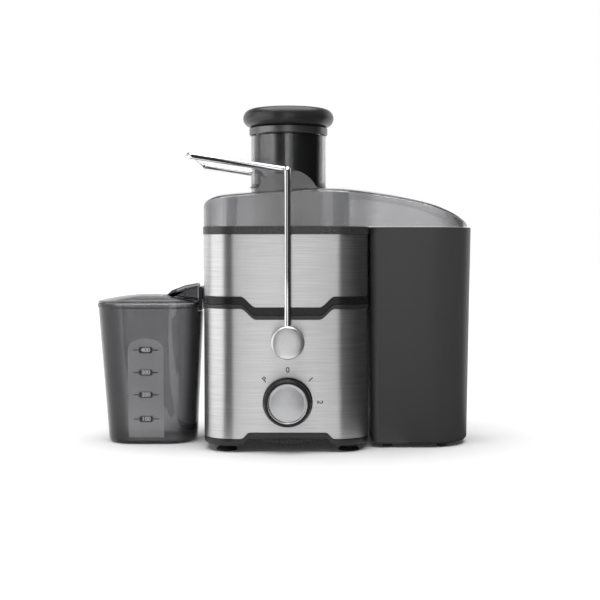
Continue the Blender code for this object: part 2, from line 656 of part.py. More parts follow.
def upright_plate(outline, low, high):
    """An (x, z) outline pushed along Y."""
    shape = bmesh.new()
    face = shape.faces.new([shape.verts.new((x, low, z)) for x, z in outline])
    raised = bmesh.ops.extrude_face_region(shape, geom=[face])["geom"]
    verts = [item for item in raised if isinstance(item, bmesh.types.BMVert)]
    bmesh.ops.translate(shape, verts=verts, vec=(0, high - low, 0))
    bmesh.ops.recalc_face_normals(shape, faces=shape.faces)
    return shape


add_node("lock_ramp_front", upright_plate(ramp_outline(), -RAMP_OUTER, -RAMP_INNER),
         "smoky_clear")
add_node("lock_ramp_rear", upright_plate(ramp_outline(), RAMP_INNER, RAMP_OUTER),
         "smoky_clear")

# ---------------------------------------------------------------- rotor (turns about Z)
turned("motor_shaft", [(0, 0.168), (0.0035, 0.168), (SHAFT_RADIUS, 0.1675),
                       (SHAFT_RADIUS, 0.0225), (0, 0.0225)], "brushed_steel", steps=20)
turned("armature", [(0.0215, STATOR_HIGH), (0.0215, STATOR_LOW), (SHAFT_BORE, STATOR_LOW),
                    (SHAFT_BORE, STATOR_HIGH)], "lamination", closed=True, steps=24)
turned("commutator", [(0.0118, 0.1145), (0.0118, 0.1010), (SHAFT_BORE, 0.1010),
                      (SHAFT_BORE, 0.1145)], "copper", closed=True, steps=24)


def toothed_outline(root, tip, teeth, share):
    """A round outline with straight-sided teeth; share is the tooth's part of a pitch."""
    points = []
    for i in range(teeth):
        middle = 2 * math.pi * i / teeth
        half = math.pi / teeth * share
        for radius, angle in ((root, -half), (tip, -half), (tip, half), (root, half)):
            points.append((radius * math.cos(middle + angle),
                           radius * math.sin(middle + angle)))
    return points


fan = add_node("cooling_fan", prism(toothed_outline(0.010, 0.034, 12, 0.28),
                                    level(0.0235), level(0.0335)), "white_plastic")
combine(fan, add_cutter("fan_bore", rod(SHAFT_BORE, (0, 0, 0.02), (0, 0, 0.04), sides=20)))
coupling = add_node("drive_coupling", prism(toothed_outline(0.0125, 0.0160, 8, 0.5),
                                            level(0.1575), level(0.1750)), "black_plastic")
coupling_bore = rod(SHAFT_BORE, (0, 0, 0.15), (0, 0, 0.1685), sides=20)
combine(coupling, add_cutter("coupling_bore", coupling_bore))

turned("filter_base", [(0, 0.1810), (0.050, 0.1810), (0.050, 0.1780), (0.0275, 0.1780),
                       (0.0275, 0.1640), (0.0250, 0.1640), (0.0250, 0.1772),
                       (0.0192, 0.1772), (0.0192, 0.1660), (0.0164, 0.1660),
                       (0.0164, 0.1772), (0, 0.1772)], "charcoal_plastic", steps=28)
turned("filter_sieve", [(BASKET_TOP_RADIUS + SIEVE_SHEET, BASKET_TOP),
                        (BASKET_BOTTOM_RADIUS + SIEVE_SHEET, BASKET_FLOOR),
                        (BASKET_BOTTOM_RADIUS, BASKET_FLOOR),
                        (BASKET_TOP_RADIUS, BASKET_TOP)],
       "brushed_steel", closed=True, steps=40)
turned("filter_rim", [(RIM_OUTER, RIM_TOP), (RIM_OUTER, BASKET_TOP + GAP),
                      (RIM_INNER, BASKET_TOP + GAP), (RIM_INNER, RIM_TOP)],
       "charcoal_plastic", closed=True, steps=40)
turned("grater_disc", [(0, 0.1850), (0.006, 0.1850), (0.008, 0.1830),
                       (GRATER_RADIUS, 0.1825), (GRATER_RADIUS, BASKET_FLOOR),
                       (0, BASKET_FLOOR)], "brushed_steel", steps=32)

# ---------------------------------------------------------------- lock arm (turns on arm_axis)
bend = ARM_BEND_Z - ARM_PIVOT_Z
handle_z = HANDLE_Z - ARM_PIVOT_Z
half_path = [(0, -LEG_Y, 0.0095), (0, -LEG_Y, bend), (0, -ROD_Y, bend),
             (HANDLE_X, -ROD_Y, handle_z)]
arm_corners = half_path + [(x, -y, z) for x, y, z in reversed(half_path)]
wire("wire_arm", filleted(arm_corners, 0.005, 4), WIRE, "chrome", arm_axis)
for along, name, side in (("-Y", "front", -1), ("+Y", "rear", 1)):
    cap = turned(f"pivot_cap_{name}",
                 [(0, PIVOT_CAP_OUTER), (0.008, 0.1057), (0.0135, 0.1045), (0.0165, 0.1030),
                  (PIVOT_CAP_RADIUS, 0.1005), (PIVOT_CAP_RADIUS, PIVOT_CAP_INNER),
                  (PIN_RADIUS + GAP, PIVOT_CAP_INNER), (PIN_RADIUS + GAP, 0.0950),
                  (0, 0.0950)], "satin_silver", arm_axis, steps=28, along=along)
    socket = rod(WIRE + GAP, (0, side * LEG_Y, 0.0090), (0, side * LEG_Y, 0.03), sides=16)
    combine(cap, add_cutter(f"leg_socket_{name}", socket, arm_axis))

# ---------------------------------------------------------------- dial (turns on dial_axis)
reach = DIAL_FRONT - BODY_HALF_DEPTH
turned("dial_knob", [(DIAL_FACE_RADIUS + 2 * GAP, reach - 0.0012), (0.0240, reach - 0.0016),
                     (0.0252, reach - 0.0035), (DIAL_RADIUS, 0.0025),
                     (DIAL_RADIUS, 0.0008), (0.0036, 0.0008), (0.0036, reach - 0.0045),
                     (DIAL_FACE_RADIUS + 2 * GAP, reach - 0.0045)],
       "black_plastic", dial_axis, closed=True, steps=32, along="-Y")
turned("dial_face", [(0, reach - 0.0002), (0.017, reach), (0.0205, reach),
                     (DIAL_FACE_RADIUS, reach - 0.0008), (DIAL_FACE_RADIUS, reach - 0.0040),
                     (0, reach - 0.0040)], "satin_silver", dial_axis, steps=32, along="-Y")
turned("dial_shaft", [(0, reach - 0.0045), (0.0031, reach - 0.0045), (0.0031, -0.0165),
                      (0, -0.0165)], "brushed_steel", dial_axis, steps=16, along="-Y")

# ---------------------------------------------------------------- food pusher (lifts out)
turned("pusher_body", [(0, PUSHER_BOTTOM + PUSHER_WALL),
                       (PUSHER_RADIUS - PUSHER_WALL, PUSHER_BOTTOM + PUSHER_WALL),
                       (PUSHER_RADIUS - PUSHER_WALL, COLLAR_TOP),
                       (COLLAR_RADIUS, COLLAR_TOP), (COLLAR_RADIUS, CHUTE_TOP + GAP),
                       (PUSHER_RADIUS, CHUTE_TOP + GAP), (PUSHER_RADIUS, PUSHER_BOTTOM),
                       (0, PUSHER_BOTTOM)], "dark_smoky", steps=40)
CAP_EDGE = 0.0098           # radius of the cap's rounded rim
cap_rim = arc((CAP_RADIUS - CAP_EDGE, CAP_TOP - CAP_EDGE), CAP_EDGE, 90, -75, 6)
turned("pusher_cap", [(0, CAP_TOP - 0.001), (0.036, CAP_TOP - 0.001)] + cap_rim
       + [(0.0405, COLLAR_TOP + GAP), (0, COLLAR_TOP + GAP)], "black_plastic", steps=40)

# ---------------------------------------------------------------- pulp bin (pulls out to +X)
bin_low = rounded_box(BIN_LEFT + BIN_DRAFT, BIN_RIGHT - BIN_DRAFT, BIN_HALF - BIN_DRAFT,
                      BIN_LEFT_RADIUS, BIN_RIGHT_RADIUS)
bin_high = rounded_box(BIN_LEFT, BIN_RIGHT, BIN_HALF, BIN_LEFT_RADIUS, BIN_RIGHT_RADIUS)
pulp_bin = add_node("pulp_bin", prism(bin_low, level(BIN_FLOOR), level(BIN_TOP), bin_high,
                                      drop=["top"]), "charcoal_plastic")
thicken(pulp_bin, BIN_WALL)
for x in BIN_STUD_X:
    for y in (-BIN_STUD_Y, BIN_STUD_Y):
        stud = rod(BIN_STUD_RADIUS, (x, y, 0), (x, y, BIN_FLOOR + 0.001), sides=16)
        combine(pulp_bin, add_cutter(f"bin_stud_{x}_{y}", stud), "UNION")

# ---------------------------------------------------------------- juice jug (pulls out to -X)


def jug_box(box, inset=0.0):
    left, right, half, corner = box
    return rounded_box(left + inset, right - inset, half - inset, corner - inset,
                       corner - inset)


juice_jug = add_node("juice_jug", prism(jug_box(JUG_BOTTOM_BOX), level(0), level(JUG_TOP),
                                        jug_box(JUG_TOP_BOX), drop=["top"]), "smoky_clear")
thicken(juice_jug, JUG_WALL)
jug_notch = add_cutter("jug_notch", block((-0.105, -JUG_SLOT_HALF, JUG_NOTCH_FLOOR),
                                          (-0.085, JUG_SLOT_HALF, 0.17)))
combine(juice_jug, jug_notch)


def jug_lid_shape():
    """A thin domed plate over the jug's mouth."""
    shape = bmesh.new()
    outline = jug_box(JUG_TOP_BOX)
    cap = shape.faces.new([shape.verts.new((x, y, 0)) for x, y in outline])
    middle = Vector(((JUG_TOP_BOX[0] + JUG_TOP_BOX[1]) / 2, 0, 0))
    share = 1.0
    for next_share in (0.985, 0.75, 0.5, 0.25):
        bmesh.ops.inset_individual(shape, faces=[cap], thickness=0)
        for vert in cap.verts:
            flat = (vert.co - middle) * (next_share / share)
            vert.co = middle + Vector((flat.x, flat.y, 0))
            vert.co.z = 0.0012 + JUG_LID_RISE * (1 - next_share**2)
        share = next_share
    bmesh.ops.translate(shape, verts=shape.verts, vec=(0, 0, JUG_TOP + GAP + JUG_LID_WALL))
    if cap.normal.z < 0:
        bmesh.ops.reverse_faces(shape, faces=shape.faces)
    return shape


juice_jug_lid = add_node("juice_jug_lid", jug_lid_shape(), "smoky_clear")
thicken(juice_jug_lid, JUG_LID_WALL)
lid_slot = block((JUG_SLOT_LEFT, -JUG_SLOT_HALF, 0.14), (-0.085, JUG_SLOT_HALF, 0.18))
combine(juice_jug_lid, add_cutter("lid_slot", lid_slot))
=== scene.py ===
import math

import bmesh
import bpy
from mathutils import Matrix, Vector
from mathutils.geometry import intersect_point_line


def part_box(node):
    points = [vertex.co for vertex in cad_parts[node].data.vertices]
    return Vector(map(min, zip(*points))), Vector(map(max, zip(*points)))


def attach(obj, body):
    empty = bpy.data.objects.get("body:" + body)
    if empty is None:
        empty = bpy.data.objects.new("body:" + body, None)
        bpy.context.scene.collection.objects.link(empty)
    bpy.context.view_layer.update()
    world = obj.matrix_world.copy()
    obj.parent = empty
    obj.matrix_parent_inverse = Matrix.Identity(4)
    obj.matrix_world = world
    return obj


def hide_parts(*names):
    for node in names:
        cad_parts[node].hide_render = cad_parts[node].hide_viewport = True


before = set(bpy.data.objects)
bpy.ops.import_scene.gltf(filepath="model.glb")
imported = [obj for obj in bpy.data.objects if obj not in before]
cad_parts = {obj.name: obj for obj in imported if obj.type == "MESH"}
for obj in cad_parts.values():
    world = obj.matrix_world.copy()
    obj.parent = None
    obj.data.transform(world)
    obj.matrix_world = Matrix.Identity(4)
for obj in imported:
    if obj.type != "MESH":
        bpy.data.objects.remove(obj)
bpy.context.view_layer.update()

scene = bpy.context.scene

# ---- studio
# The juicer stands on a white sheet under one large overhead softbox. A narrow card behind
# the camera and a wide box on the left face it, and black cards, which only reflections
# show, give the steel its dark corner bands.

scene.view_settings.view_transform = "Standard"


def stand(name, shape, material=None):
    """Make an object of a bmesh and put it in the scene."""
    mesh = bpy.data.meshes.new(name)
    shape.to_mesh(mesh)
    shape.free()
    if material:
        mesh.materials.append(material)
    piece = bpy.data.objects.new(name, mesh)
    scene.collection.objects.link(piece)
    return piece


def paint(name):
    """A new material, with its nodes, its links and its shader."""
    material = bpy.data.materials.new(name)
    material.use_nodes = True
    nodes = material.node_tree.nodes
    return material, nodes, material.node_tree.links, nodes["Principled BSDF"]


def give(node, values):
    """Set a node's inputs by their names."""
    for socket, value in values.items():
        node.inputs[socket].default_value = value


def graded(nodes, from_low, from_high, to_low, to_high):
    """A node that stretches one span of values into another."""
    node = nodes.new("ShaderNodeMapRange")
    give(node, {"From Min": from_low, "From Max": from_high, "To Min": to_low,
                "To Max": to_high})
    return node


def wire(links, *route):
    """Join nodes along a route: node, output, input, node, output, input, node."""
    for i in range(0, len(route) - 1, 3):
        source, output, entry, target = route[i:i + 4]
        links.new(source.outputs[output], target.inputs[entry])


floor_paint, floor_nodes, floor_links, floor_shader = paint("white_sheet")
give(floor_shader, {"Base Color": (0.90, 0.90, 0.90, 1), "Roughness": 0.9,
                    "Specular IOR Level": 0.1, "Emission Color": (1, 1, 1, 1)})
floor_place = floor_nodes.new("ShaderNodeTexCoord")
floor_reach = floor_nodes.new("ShaderNodeVectorMath")
floor_reach.operation = "LENGTH"
floor_glow = graded(floor_nodes, 0.35, 3.5, 0.02, 0.95)
wire(floor_links, floor_place, "Object", 0, floor_reach, "Value", "Value", floor_glow,
     "Result", "Emission Strength", floor_shader)
floor_half = 9.0
floor_shape = bmesh.new()
bmesh.ops.create_grid(floor_shape, x_segments=1, y_segments=1, size=floor_half)
stand("floor", floor_shape, floor_paint)

world = bpy.data.worlds.new("studio")
scene.world = world
world.use_nodes = True
world_nodes, world_links = world.node_tree.nodes, world.node_tree.links
room = world_nodes["Background"]
direction = world_nodes.new("ShaderNodeTexCoord")
split = world_nodes.new("ShaderNodeSeparateXYZ")
white_behind = graded(world_nodes, 0.05, 0.45, 0.06, 0.95)
dark_above = graded(world_nodes, 0.30, 0.60, 1.0, 0.12)
room_level = world_nodes.new("ShaderNodeMath")
room_level.operation = "MULTIPLY"
backdrop = world_nodes.new("ShaderNodeBackground")
give(room, {"Color": (1, 1, 1, 1)})
give(backdrop, {"Color": (1, 1, 1, 1)})
seen = world_nodes.new("ShaderNodeLightPath")
straight_or_through = world_nodes.new("ShaderNodeMath")
straight_or_through.operation = "MAXIMUM"
choose = world_nodes.new("ShaderNodeMixShader")
wire(world_links, direction, "Generated", "Vector", split, "Y", "Value", white_behind,
     "Result", 0, room_level, "Value", "Strength", room, "Background", 1, choose)
wire(world_links, split, "Z", "Value", dark_above, "Result", 1, room_level)
wire(world_links, seen, "Is Camera Ray", 0, straight_or_through)
wire(world_links, seen, "Is Transmission Ray", 1, straight_or_through, "Value", "Fac", choose)
wire(world_links, backdrop, "Background", 2, choose, "Shader", "Surface",
     world_nodes["World Output"])


def softbox(name, place, aim, size, brightness):
    """A rectangular area light that the camera doesn't see, as bright as a surface."""
    light = bpy.data.lights.new(name, "AREA")
    light.shape = "RECTANGLE"
    light.size, light.size_y = size
    light.energy = brightness * math.pi * size[0] * size[1]
    lamp = bpy.data.objects.new(name, light)
    lamp.location = place
    lamp.rotation_euler = (Vector(aim) - Vector(place)).to_track_quat("-Z", "Y").to_euler()
    lamp.visible_camera = False
    scene.collection.objects.link(lamp)


softbox("overhead_box", (0, -0.2, 2.4), (0, 0, 0), (3.0, 3.0), 3.4)
softbox("front_card", (-0.13, -3.0, 1.1), (-0.02, 0, 1.1), (0.66, 2.2), 0.95)
softbox("left_box", (-2.28, -0.83, 1.0), (0, 0, 0.6), (2.4, 2.0), 1.25)

black_card, *_, card_shader = paint("black_card")
give(card_shader, {"Base Color": (0.02, 0.02, 0.02, 1), "Roughness": 0.9})


def black_out(name, shape):
    """A black card that only reflections show."""
    card = stand(name, shape, black_card)
    card.visible_camera = card.visible_diffuse = card.visible_shadow = False


flag_near, flag_far, flag_foot, flag_height = 0.07, 0.57, 0.0006, 1.2
for name, corner, start, stop in (("left_flag", (-0.055, -0.060), -38, -5),
                                  ("right_flag", (0.065, -0.060), 10, 118)):
    flag = bmesh.new()
    start_turn = Matrix.Rotation(math.radians(start), 3, "Z")
    rail = [flag.verts.new(start_turn @ Vector(place))
            for place in ((0, -flag_near, flag_foot), (0, -flag_far, flag_foot),
                          (0, -flag_far, flag_height))]
    rail_edges = [flag.edges.new(pair) for pair in zip(rail, rail[1:])]
    bmesh.ops.spin(flag, geom=rail + rail_edges, cent=(0, 0, 0), axis=(0, 0, 1),
                   angle=math.radians(stop - start), steps=12)
    bmesh.ops.translate(flag, verts=flag.verts, vec=(*corner, 0))
    black_out(name, flag)
sheet = bmesh.new()
bmesh.ops.create_grid(sheet, x_segments=1, y_segments=1, size=1)
bmesh.ops.scale(sheet, verts=sheet.verts, vec=(0.15, 0.36, 1))
bmesh.ops.translate(sheet, verts=sheet.verts, vec=(0.200, -0.64, 0.0004))
black_out("dial_sheet", sheet)

camera_tilt = 2.75
camera_data = bpy.data.cameras.new("camera")
camera_data.lens = 67.5
camera = bpy.data.objects.new("camera", camera_data)
camera.location = (0.0184, -1.260, 0.217)
camera.rotation_euler = (math.radians(90 - camera_tilt), 0, 0)
scene.collection.objects.link(camera)
scene.camera = camera

# ---- base pan and vents
# The underside is one black ABS pan with an arched middle, a ribbed vent panel under the
# motor and a moulded skirt that shows as a black line below the steel.

chute_low, chute_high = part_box("feed_chute")
axis_x = (chute_low.x + chute_high.x) / 2
wrap_low, wrap_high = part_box("lower_steel_wrap")
body_left, body_right = wrap_low.x, wrap_high.x
body_half = wrap_high.y
body_corner = 0.034


def block(size, centre, shape=None):
    """A plain block about a centre, alone or added to a mesh."""
    if shape is None:
        shape = bmesh.new()
    verts = bmesh.ops.create_cube(shape, size=1)["verts"]
    bmesh.ops.scale(shape, verts=verts, vec=size)
    bmesh.ops.translate(shape, verts=verts, vec=centre)
    return shape


def soften(shape, edges, radius, steps):
    """Round some edges of a mesh."""
    bmesh.ops.bevel(shape, geom=edges, offset=radius, segments=steps, profile=0.5,
                    affect="EDGES", material=-1)


def rounded_block(low, high, left_radius, right_radius, segments=20):
    """A block whose upright corners are rounded."""
    low, high = Vector(low), Vector(high)
    middle = (low + high) / 2
    shape = block(high - low, middle)
    for radius, side in ((left_radius, -1), (right_radius, 1)):
        uprights = [edge for edge in shape.edges
                    if (edge.verts[0].co - edge.verts[1].co).xy.length < 1e-6
                    and (edge.verts[0].co.x - middle.x) * side > 0]
        soften(shape, uprights, radius, segments)
    return shape


def open_caps(shape, top=True, bottom=True):
    """Take the flat end faces off a block."""
    ends = [face for face in shape.faces
            if (top and face.normal.z > 0.9) or (bottom and face.normal.z < -0.9)]
    bmesh.ops.delete(shape, geom=ends, context="FACES_ONLY")


def edges_at(shape, height):
    """The edges that lie level at one height."""
    return [edge for edge in shape.edges
            if all(abs(vert.co.z - height) < 1e-6 for vert in edge.verts)]


def slice_across(shape, stations, along=(1, 0, 0)):
    """Cut a mesh with planes at the given places along a direction."""
    for station in stations:
        bmesh.ops.bisect_plane(shape, geom=shape.verts[:] + shape.edges[:] + shape.faces[:],
                               dist=1e-6, plane_co=Vector(along) * station, plane_no=along)


def add_piece(name, shape, material, body, replaced=(), wall=0.0, edge=0.0,
              edge_angle=35, edge_steps=2):
    """Turn a bmesh into a finished piece: wall thickness, eased edges, material and body."""
    if wall:
        bmesh.ops.recalc_face_normals(shape, faces=shape.faces)
        bmesh.ops.solidify(shape, geom=shape.faces[:], thickness=wall)
    bmesh.ops.recalc_face_normals(shape, faces=shape.faces)
    for face in shape.faces:
        face.smooth = True
    piece = stand(name, shape, material)
    piece.data.set_sharp_from_angle(angle=math.radians(edge_angle))
    if edge > 0:
        ease = piece.modifiers.new("eased_edges", "BEVEL")
        ease.width = edge
        ease.segments = edge_steps
        ease.limit_method = "ANGLE"
        ease.angle_limit = math.radians(edge_angle)
        ease.harden_normals = True
    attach(piece, body)
    if replaced:
        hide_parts(*replaced)
    return piece


def tones(nodes, *stops):
    """A ramp between two tones, each given as a position and a colour."""
    ramp = nodes.new("ShaderNodeValToRGB")
    for element, (position, colour) in zip(ramp.color_ramp.elements, stops):
        element.position = position
        element.color = (*colour, 1)
    return ramp


def surface(name, dark, light, roughness, metallic=0.0, scale=400.0, stretch=(1, 1, 1),
            bump=0.0, bump_depth=0.0001, detail=3.0, spread=0.06):
    """A surface whose colour, roughness and height vary with a stretched grain."""
    material, nodes, links, shader = paint(name)
    give(shader, {"Metallic": metallic})
    place = nodes.new("ShaderNodeTexCoord")
    turn = nodes.new("ShaderNodeMapping")
    give(turn, {"Scale": stretch})
    grain = nodes.new("ShaderNodeTexNoise")
    give(grain, {"Scale": scale, "Detail": detail})
    ramp = tones(nodes, (0.3, dark), (0.7, light))
    vary = graded(nodes, 0, 1, max(roughness - spread, 0.01), roughness + spread)
    wire(links, place, "Object", "Vector", turn, "Vector", "Vector", grain, "Fac", "Fac",
         ramp, "Color", "Base Color", shader)
    wire(links, grain, "Fac", "Value", vary, "Result", "Roughness", shader)
    if bump > 0:
        relief = nodes.new("ShaderNodeBump")
        give(relief, {"Strength": bump, "Distance": bump_depth})
        wire(links, grain, "Fac", "Height", relief, "Normal", "Normal", shader)
    return material


black_plastic = surface("black_plastic", (0.010, 0.010, 0.011), (0.017, 0.017, 0.018), 0.30,
                        scale=900, bump=0.15)

pan_low, pan_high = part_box("base_bottom")
arch_inner, arch_outer = 0.040, 0.049
pan_rise, pan_skirt, skirt_gap = 0.0067, 0.0079, 0.0003


def eased(share):
    """A share from 0 to 1 that starts and ends gently."""
    share = min(max(share, 0), 1)
    return share * share * (3 - 2 * share)


def arch_lift(x):
    """How far the arched middle of the underside lifts at X."""
    return pan_rise * eased((arch_outer - abs(x - axis_x)) / (arch_outer - arch_inner))


def both_sides(inner, outer, steps):
    """X places from inner to outer on both sides of the axis."""
    return [axis_x + side * (inner + (outer - inner) * i / steps)
            for side in (-1, 1) for i in range(steps + 1)]


arch_stations = both_sides(arch_inner, arch_outer, 8)
pan = rounded_block((body_left, -body_half, pan_low.z),
                    (body_right, body_half, pan_low.z + pan_skirt - skirt_gap),
                    body_corner, body_corner)
open_caps(pan, bottom=False)
soften(pan, edges_at(pan, pan_low.z), 0.003, 4)
slice_across(pan, arch_stations)
for vert in pan.verts:
    vert.co.z += arch_lift(vert.co.x)
add_piece("base_pan", pan, black_plastic, "base", ["base_bottom"], wall=0.0022,
          edge=0.0005)

vent_half, vent_drop, vent_y = 0.0375, 0.0070, 0.079
vent_top = pan_low.z + pan_rise + 0.0008


def vent_depth(x):
    """How far the vent panel hangs below the arch at X from its middle."""
    return vent_drop * (1 - (x / vent_half)**2)


def plate(outline, low_y, high_y):
    """An (x, z) outline pushed along Y."""
    shape = bmesh.new()
    verts = [shape.verts.new((x, low_y, z)) for x, z in outline]
    side = bmesh.ops.contextual_create(shape, geom=verts)["faces"]
    pushed = bmesh.ops.extrude_face_region(shape, geom=side)["geom"]
    bmesh.ops.translate(shape, verts=[item for item in pushed
                                      if isinstance(item, bmesh.types.BMVert)],
                        vec=(0, high_y - low_y, 0))
    bmesh.ops.recalc_face_normals(shape, faces=shape.faces)
    return shape


vent_line = [(-1 + i / 12) * vent_half for i in range(25)]
vent = plate([(axis_x + x, vent_top - 0.9 * vent_depth(x)) for x in vent_line],
             -vent_y, vent_y)
add_piece("vent_panel", vent, black_plastic, "base")
vent_pitch, rib_width, rib_proud = 0.0052, 0.0028, 0.0004
for i in range(13):
    rib_x = (i - 6) * vent_pitch
    rib_low = vent_top - vent_depth(rib_x) - rib_proud
    rib = block((rib_width, 2 * (vent_y + 2 * rib_proud), vent_top - rib_low),
                (axis_x + rib_x, 0, (vent_top + rib_low) / 2))
    add_piece(f"vent_rib_{i + 1}", rib, black_plastic, "base", edge=0.0008,
              edge_steps=3)

# ---- feet and base screws
# Four flared rubber feet are pressed into the pan; four pan-head screws between them hold
# the pan to the housing's posts.

rubber = surface("foot_rubber", (0.006, 0.006, 0.006), (0.012, 0.012, 0.012), 0.62,
                 scale=1400, bump=0.3)


def spun(profile, centre, along="Z", steps=96, closed=False):
    """Turn a (radius, height) outline about an axis through centre."""
    shape = bmesh.new()
    verts = [shape.verts.new((radius, 0, height)) for radius, height in profile]
    edges = [shape.edges.new(pair) for pair in zip(verts, verts[1:])]
    if closed:
        edges.append(shape.edges.new((verts[-1], verts[0])))
    bmesh.ops.spin(shape, geom=verts + edges, cent=(0, 0, 0), axis=(0, 0, 1),
                   angle=2 * math.pi, steps=steps, use_merge=True)
    bmesh.ops.remove_doubles(shape, verts=shape.verts, dist=1e-6)
    turn = {"Z": Matrix.Identity(4), "-Y": Matrix.Rotation(math.pi / 2, 4, "X"),
            "+Y": Matrix.Rotation(-math.pi / 2, 4, "X")}[along]
    bmesh.ops.transform(shape, verts=shape.verts, matrix=Matrix.Translation(centre) @ turn)
    bmesh.ops.recalc_face_normals(shape, faces=shape.faces)
    return shape


for number in range(1, 5):
    foot_low, foot_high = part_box(f"foot_{number}")
    foot_middle = (foot_low + foot_high) / 2
    r = (foot_high.x - foot_low.x) / 2
    foot = spun([(0, 0.0066), (0.0085, 0.0066), (0.0078, 0.0052), (0.0080, 0.0042),
                 (0.0092, 0.0034), (r - 0.0004, 0.0022), (r, 0.0016), (r, 0.0006),
                 (r - 0.0006, 0), (0.0085, 0), (0.0080, 0.0008), (0, 0.0008)],
                (foot_middle.x, foot_middle.y, 0), steps=48)
    add_piece(f"rubber_foot_{number}", foot, rubber, "base", [f"foot_{number}"])

plated_steel = surface("plated_steel", (0.45, 0.45, 0.46), (0.60, 0.60, 0.60), 0.30,
                       metallic=1.0, scale=500, bump=0.1)


def refinish(material, *names):
    """Give CAD solids that stay in view a better material."""
    for name in names:
        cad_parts[name].data.materials.clear()
        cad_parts[name].data.materials.append(material)


refinish(plated_steel, "base_screw_1", "base_screw_2", "base_screw_3", "base_screw_4",
         "pivot_pin_front", "pivot_pin_rear", "dial_shaft")

# ---- brushed steel wraps
# Two stainless sheets are bent round the plastic housing and collector, brushed along their
# length before bending, so the grain runs level all the way round.

steel = surface("brushed_steel", (0.54, 0.54, 0.545), (0.71, 0.71, 0.715), 0.37,
                metallic=1.0, scale=60, stretch=(0.35, 0.35, 26), bump=0.35,
                bump_depth=0.00003, detail=5.0)
steel_shader = steel.node_tree.nodes["Principled BSDF"]
give(steel_shader, {"Anisotropic": 0.8})
upright = steel.node_tree.nodes.new("ShaderNodeCombineXYZ")
give(upright, {"Z": 1})
wire(steel.node_tree.links, upright, "Vector", "Tangent", steel_shader)
wave_inner, wave_outer, wave_dip = 0.033, 0.0497, 0.0114


def wave_line(x):
    """How far the trims are shifted at X: they dip in the middle."""
    return -wave_dip * eased((wave_outer - abs(x - axis_x)) / (wave_outer - wave_inner))


def level_line(x):
    """A straight edge isn't shifted."""
    return 0


wave_stations = both_sides(wave_inner, wave_outer, 10)


def wrap_band(grow, low_z, high_z, lower_line, upper_line):
    """A bent sheet round the body, its edges shaped by the lines along X."""
    shape = rounded_block((body_left - grow, -body_half - grow, low_z),
                          (body_right + grow, body_half + grow, high_z),
                          body_corner + grow, body_corner + grow, segments=24)
    open_caps(shape)
    slice_across(shape, sorted(wave_stations + arch_stations))
    middle = (low_z + high_z) / 2
    for vert in shape.verts:
        line = lower_line if vert.co.z < middle else upper_line
        vert.co.z += line(vert.co.x)
    return shape


steel_foot = pan_low.z + pan_skirt
trim_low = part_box("base_top_trim")[0].z + wave_dip
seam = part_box("collector_trim")[0].z + wave_dip
trim_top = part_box("upper_steel_wrap")[0].z + wave_dip
band_low, band_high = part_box("rim_band")
steel_wall, sheet_gap = 0.0006, 0.0002
lower_wrap = wrap_band(0, steel_foot, trim_low - sheet_gap, arch_lift, wave_line)
add_piece("lower_wrap", lower_wrap, steel, "base", ["lower_steel_wrap"],
          wall=steel_wall)
upper_wrap = wrap_band(0, trim_top, band_low.z - sheet_gap, wave_line, level_line)
add_piece("upper_wrap", upper_wrap, steel, "base", ["upper_steel_wrap"],
          wall=steel_wall)

# ---- black trims and rim band
# Satin black mouldings close the sheets' edges: a wave-shaped pair meets at the seam where
# the collector lifts off, and a straight band carries the lid.

trim_plastic = surface("trim_plastic", (0.008, 0.008, 0.008), (0.012, 0.012, 0.012), 0.26,
                       scale=700, bump=0.1)
lower_trim_plastic = surface("lower_trim_plastic", (0.020, 0.020, 0.021),
                             (0.027, 0.027, 0.028), 0.30, scale=700, bump=0.1)
band_plastic = surface("band_plastic", (0.030, 0.030, 0.031), (0.040, 0.040, 0.041), 0.28,
                       scale=700, bump=0.1)
give(trim_plastic.node_tree.nodes["Principled BSDF"], {"Specular IOR Level": 0.3})
trim_proud, trim_wall, seam_gap = 0.0008, 0.0014, 0.0003
lower_trim = wrap_band(trim_proud, trim_low, seam - seam_gap, wave_line, wave_line)
add_piece("lower_trim", lower_trim, lower_trim_plastic, "base",
          ["base_top_trim"], wall=trim_wall, edge=0.0005)
upper_trim = wrap_band(trim_proud, seam, trim_top - sheet_gap, wave_line, wave_line)
add_piece("upper_trim", upper_trim, trim_plastic, "base",
          ["collector_trim"], wall=trim_wall, edge=0.0006)
rim = wrap_band(trim_proud, band_low.z, band_high.z, level_line, level_line)
add_piece("lid_seat_band", rim, band_plastic, "base", ["rim_band"],
          wall=trim_wall, edge=0.0006)

# ---- housing and collector
# The inner housing and the collector bowl are plain mouldings behind the steel. The
# collector shows through the smoky lid.

charcoal = surface("charcoal_plastic", (0.044, 0.044, 0.046), (0.056, 0.056, 0.058), 0.42,
                   scale=1500, bump=0.35)
refinish(black_plastic, "base_housing")
refinish(charcoal, "collector_bowl")

# ---- cord gland
# A soft rubber bush is pushed into the hole where a mains lead would leave the back of the
# base. It has a flange outside, a groove and an open bore.

gland_low, gland_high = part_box("cord_gland")
gland_middle = (gland_low + gland_high) / 2
gland_r = (gland_high.x - gland_low.x) / 2
gland_proud = 0.006
gland = spun([(0.0048, gland_proud), (0.0045, 0.0055), (0.0045, -0.0090), (0.0062, -0.0090),
              (0.0062, 0.0), (gland_r, 0.0), (gland_r, 0.0034), (0.0086, 0.0048),
              (0.0078, 0.0057), (0.0070, gland_proud)],
             (gland_middle.x, gland_high.y - gland_proud, gland_middle.z), along="+Y",
             steps=64, closed=True)
add_piece("rubber_gland", gland, rubber, "base", ["cord_gland"])

# ---- motor and switches
# A universal motor, its fan, brushes and brackets, and the two switches are bought-in
# parts: copper, stacked steel, nylon and plated steel.

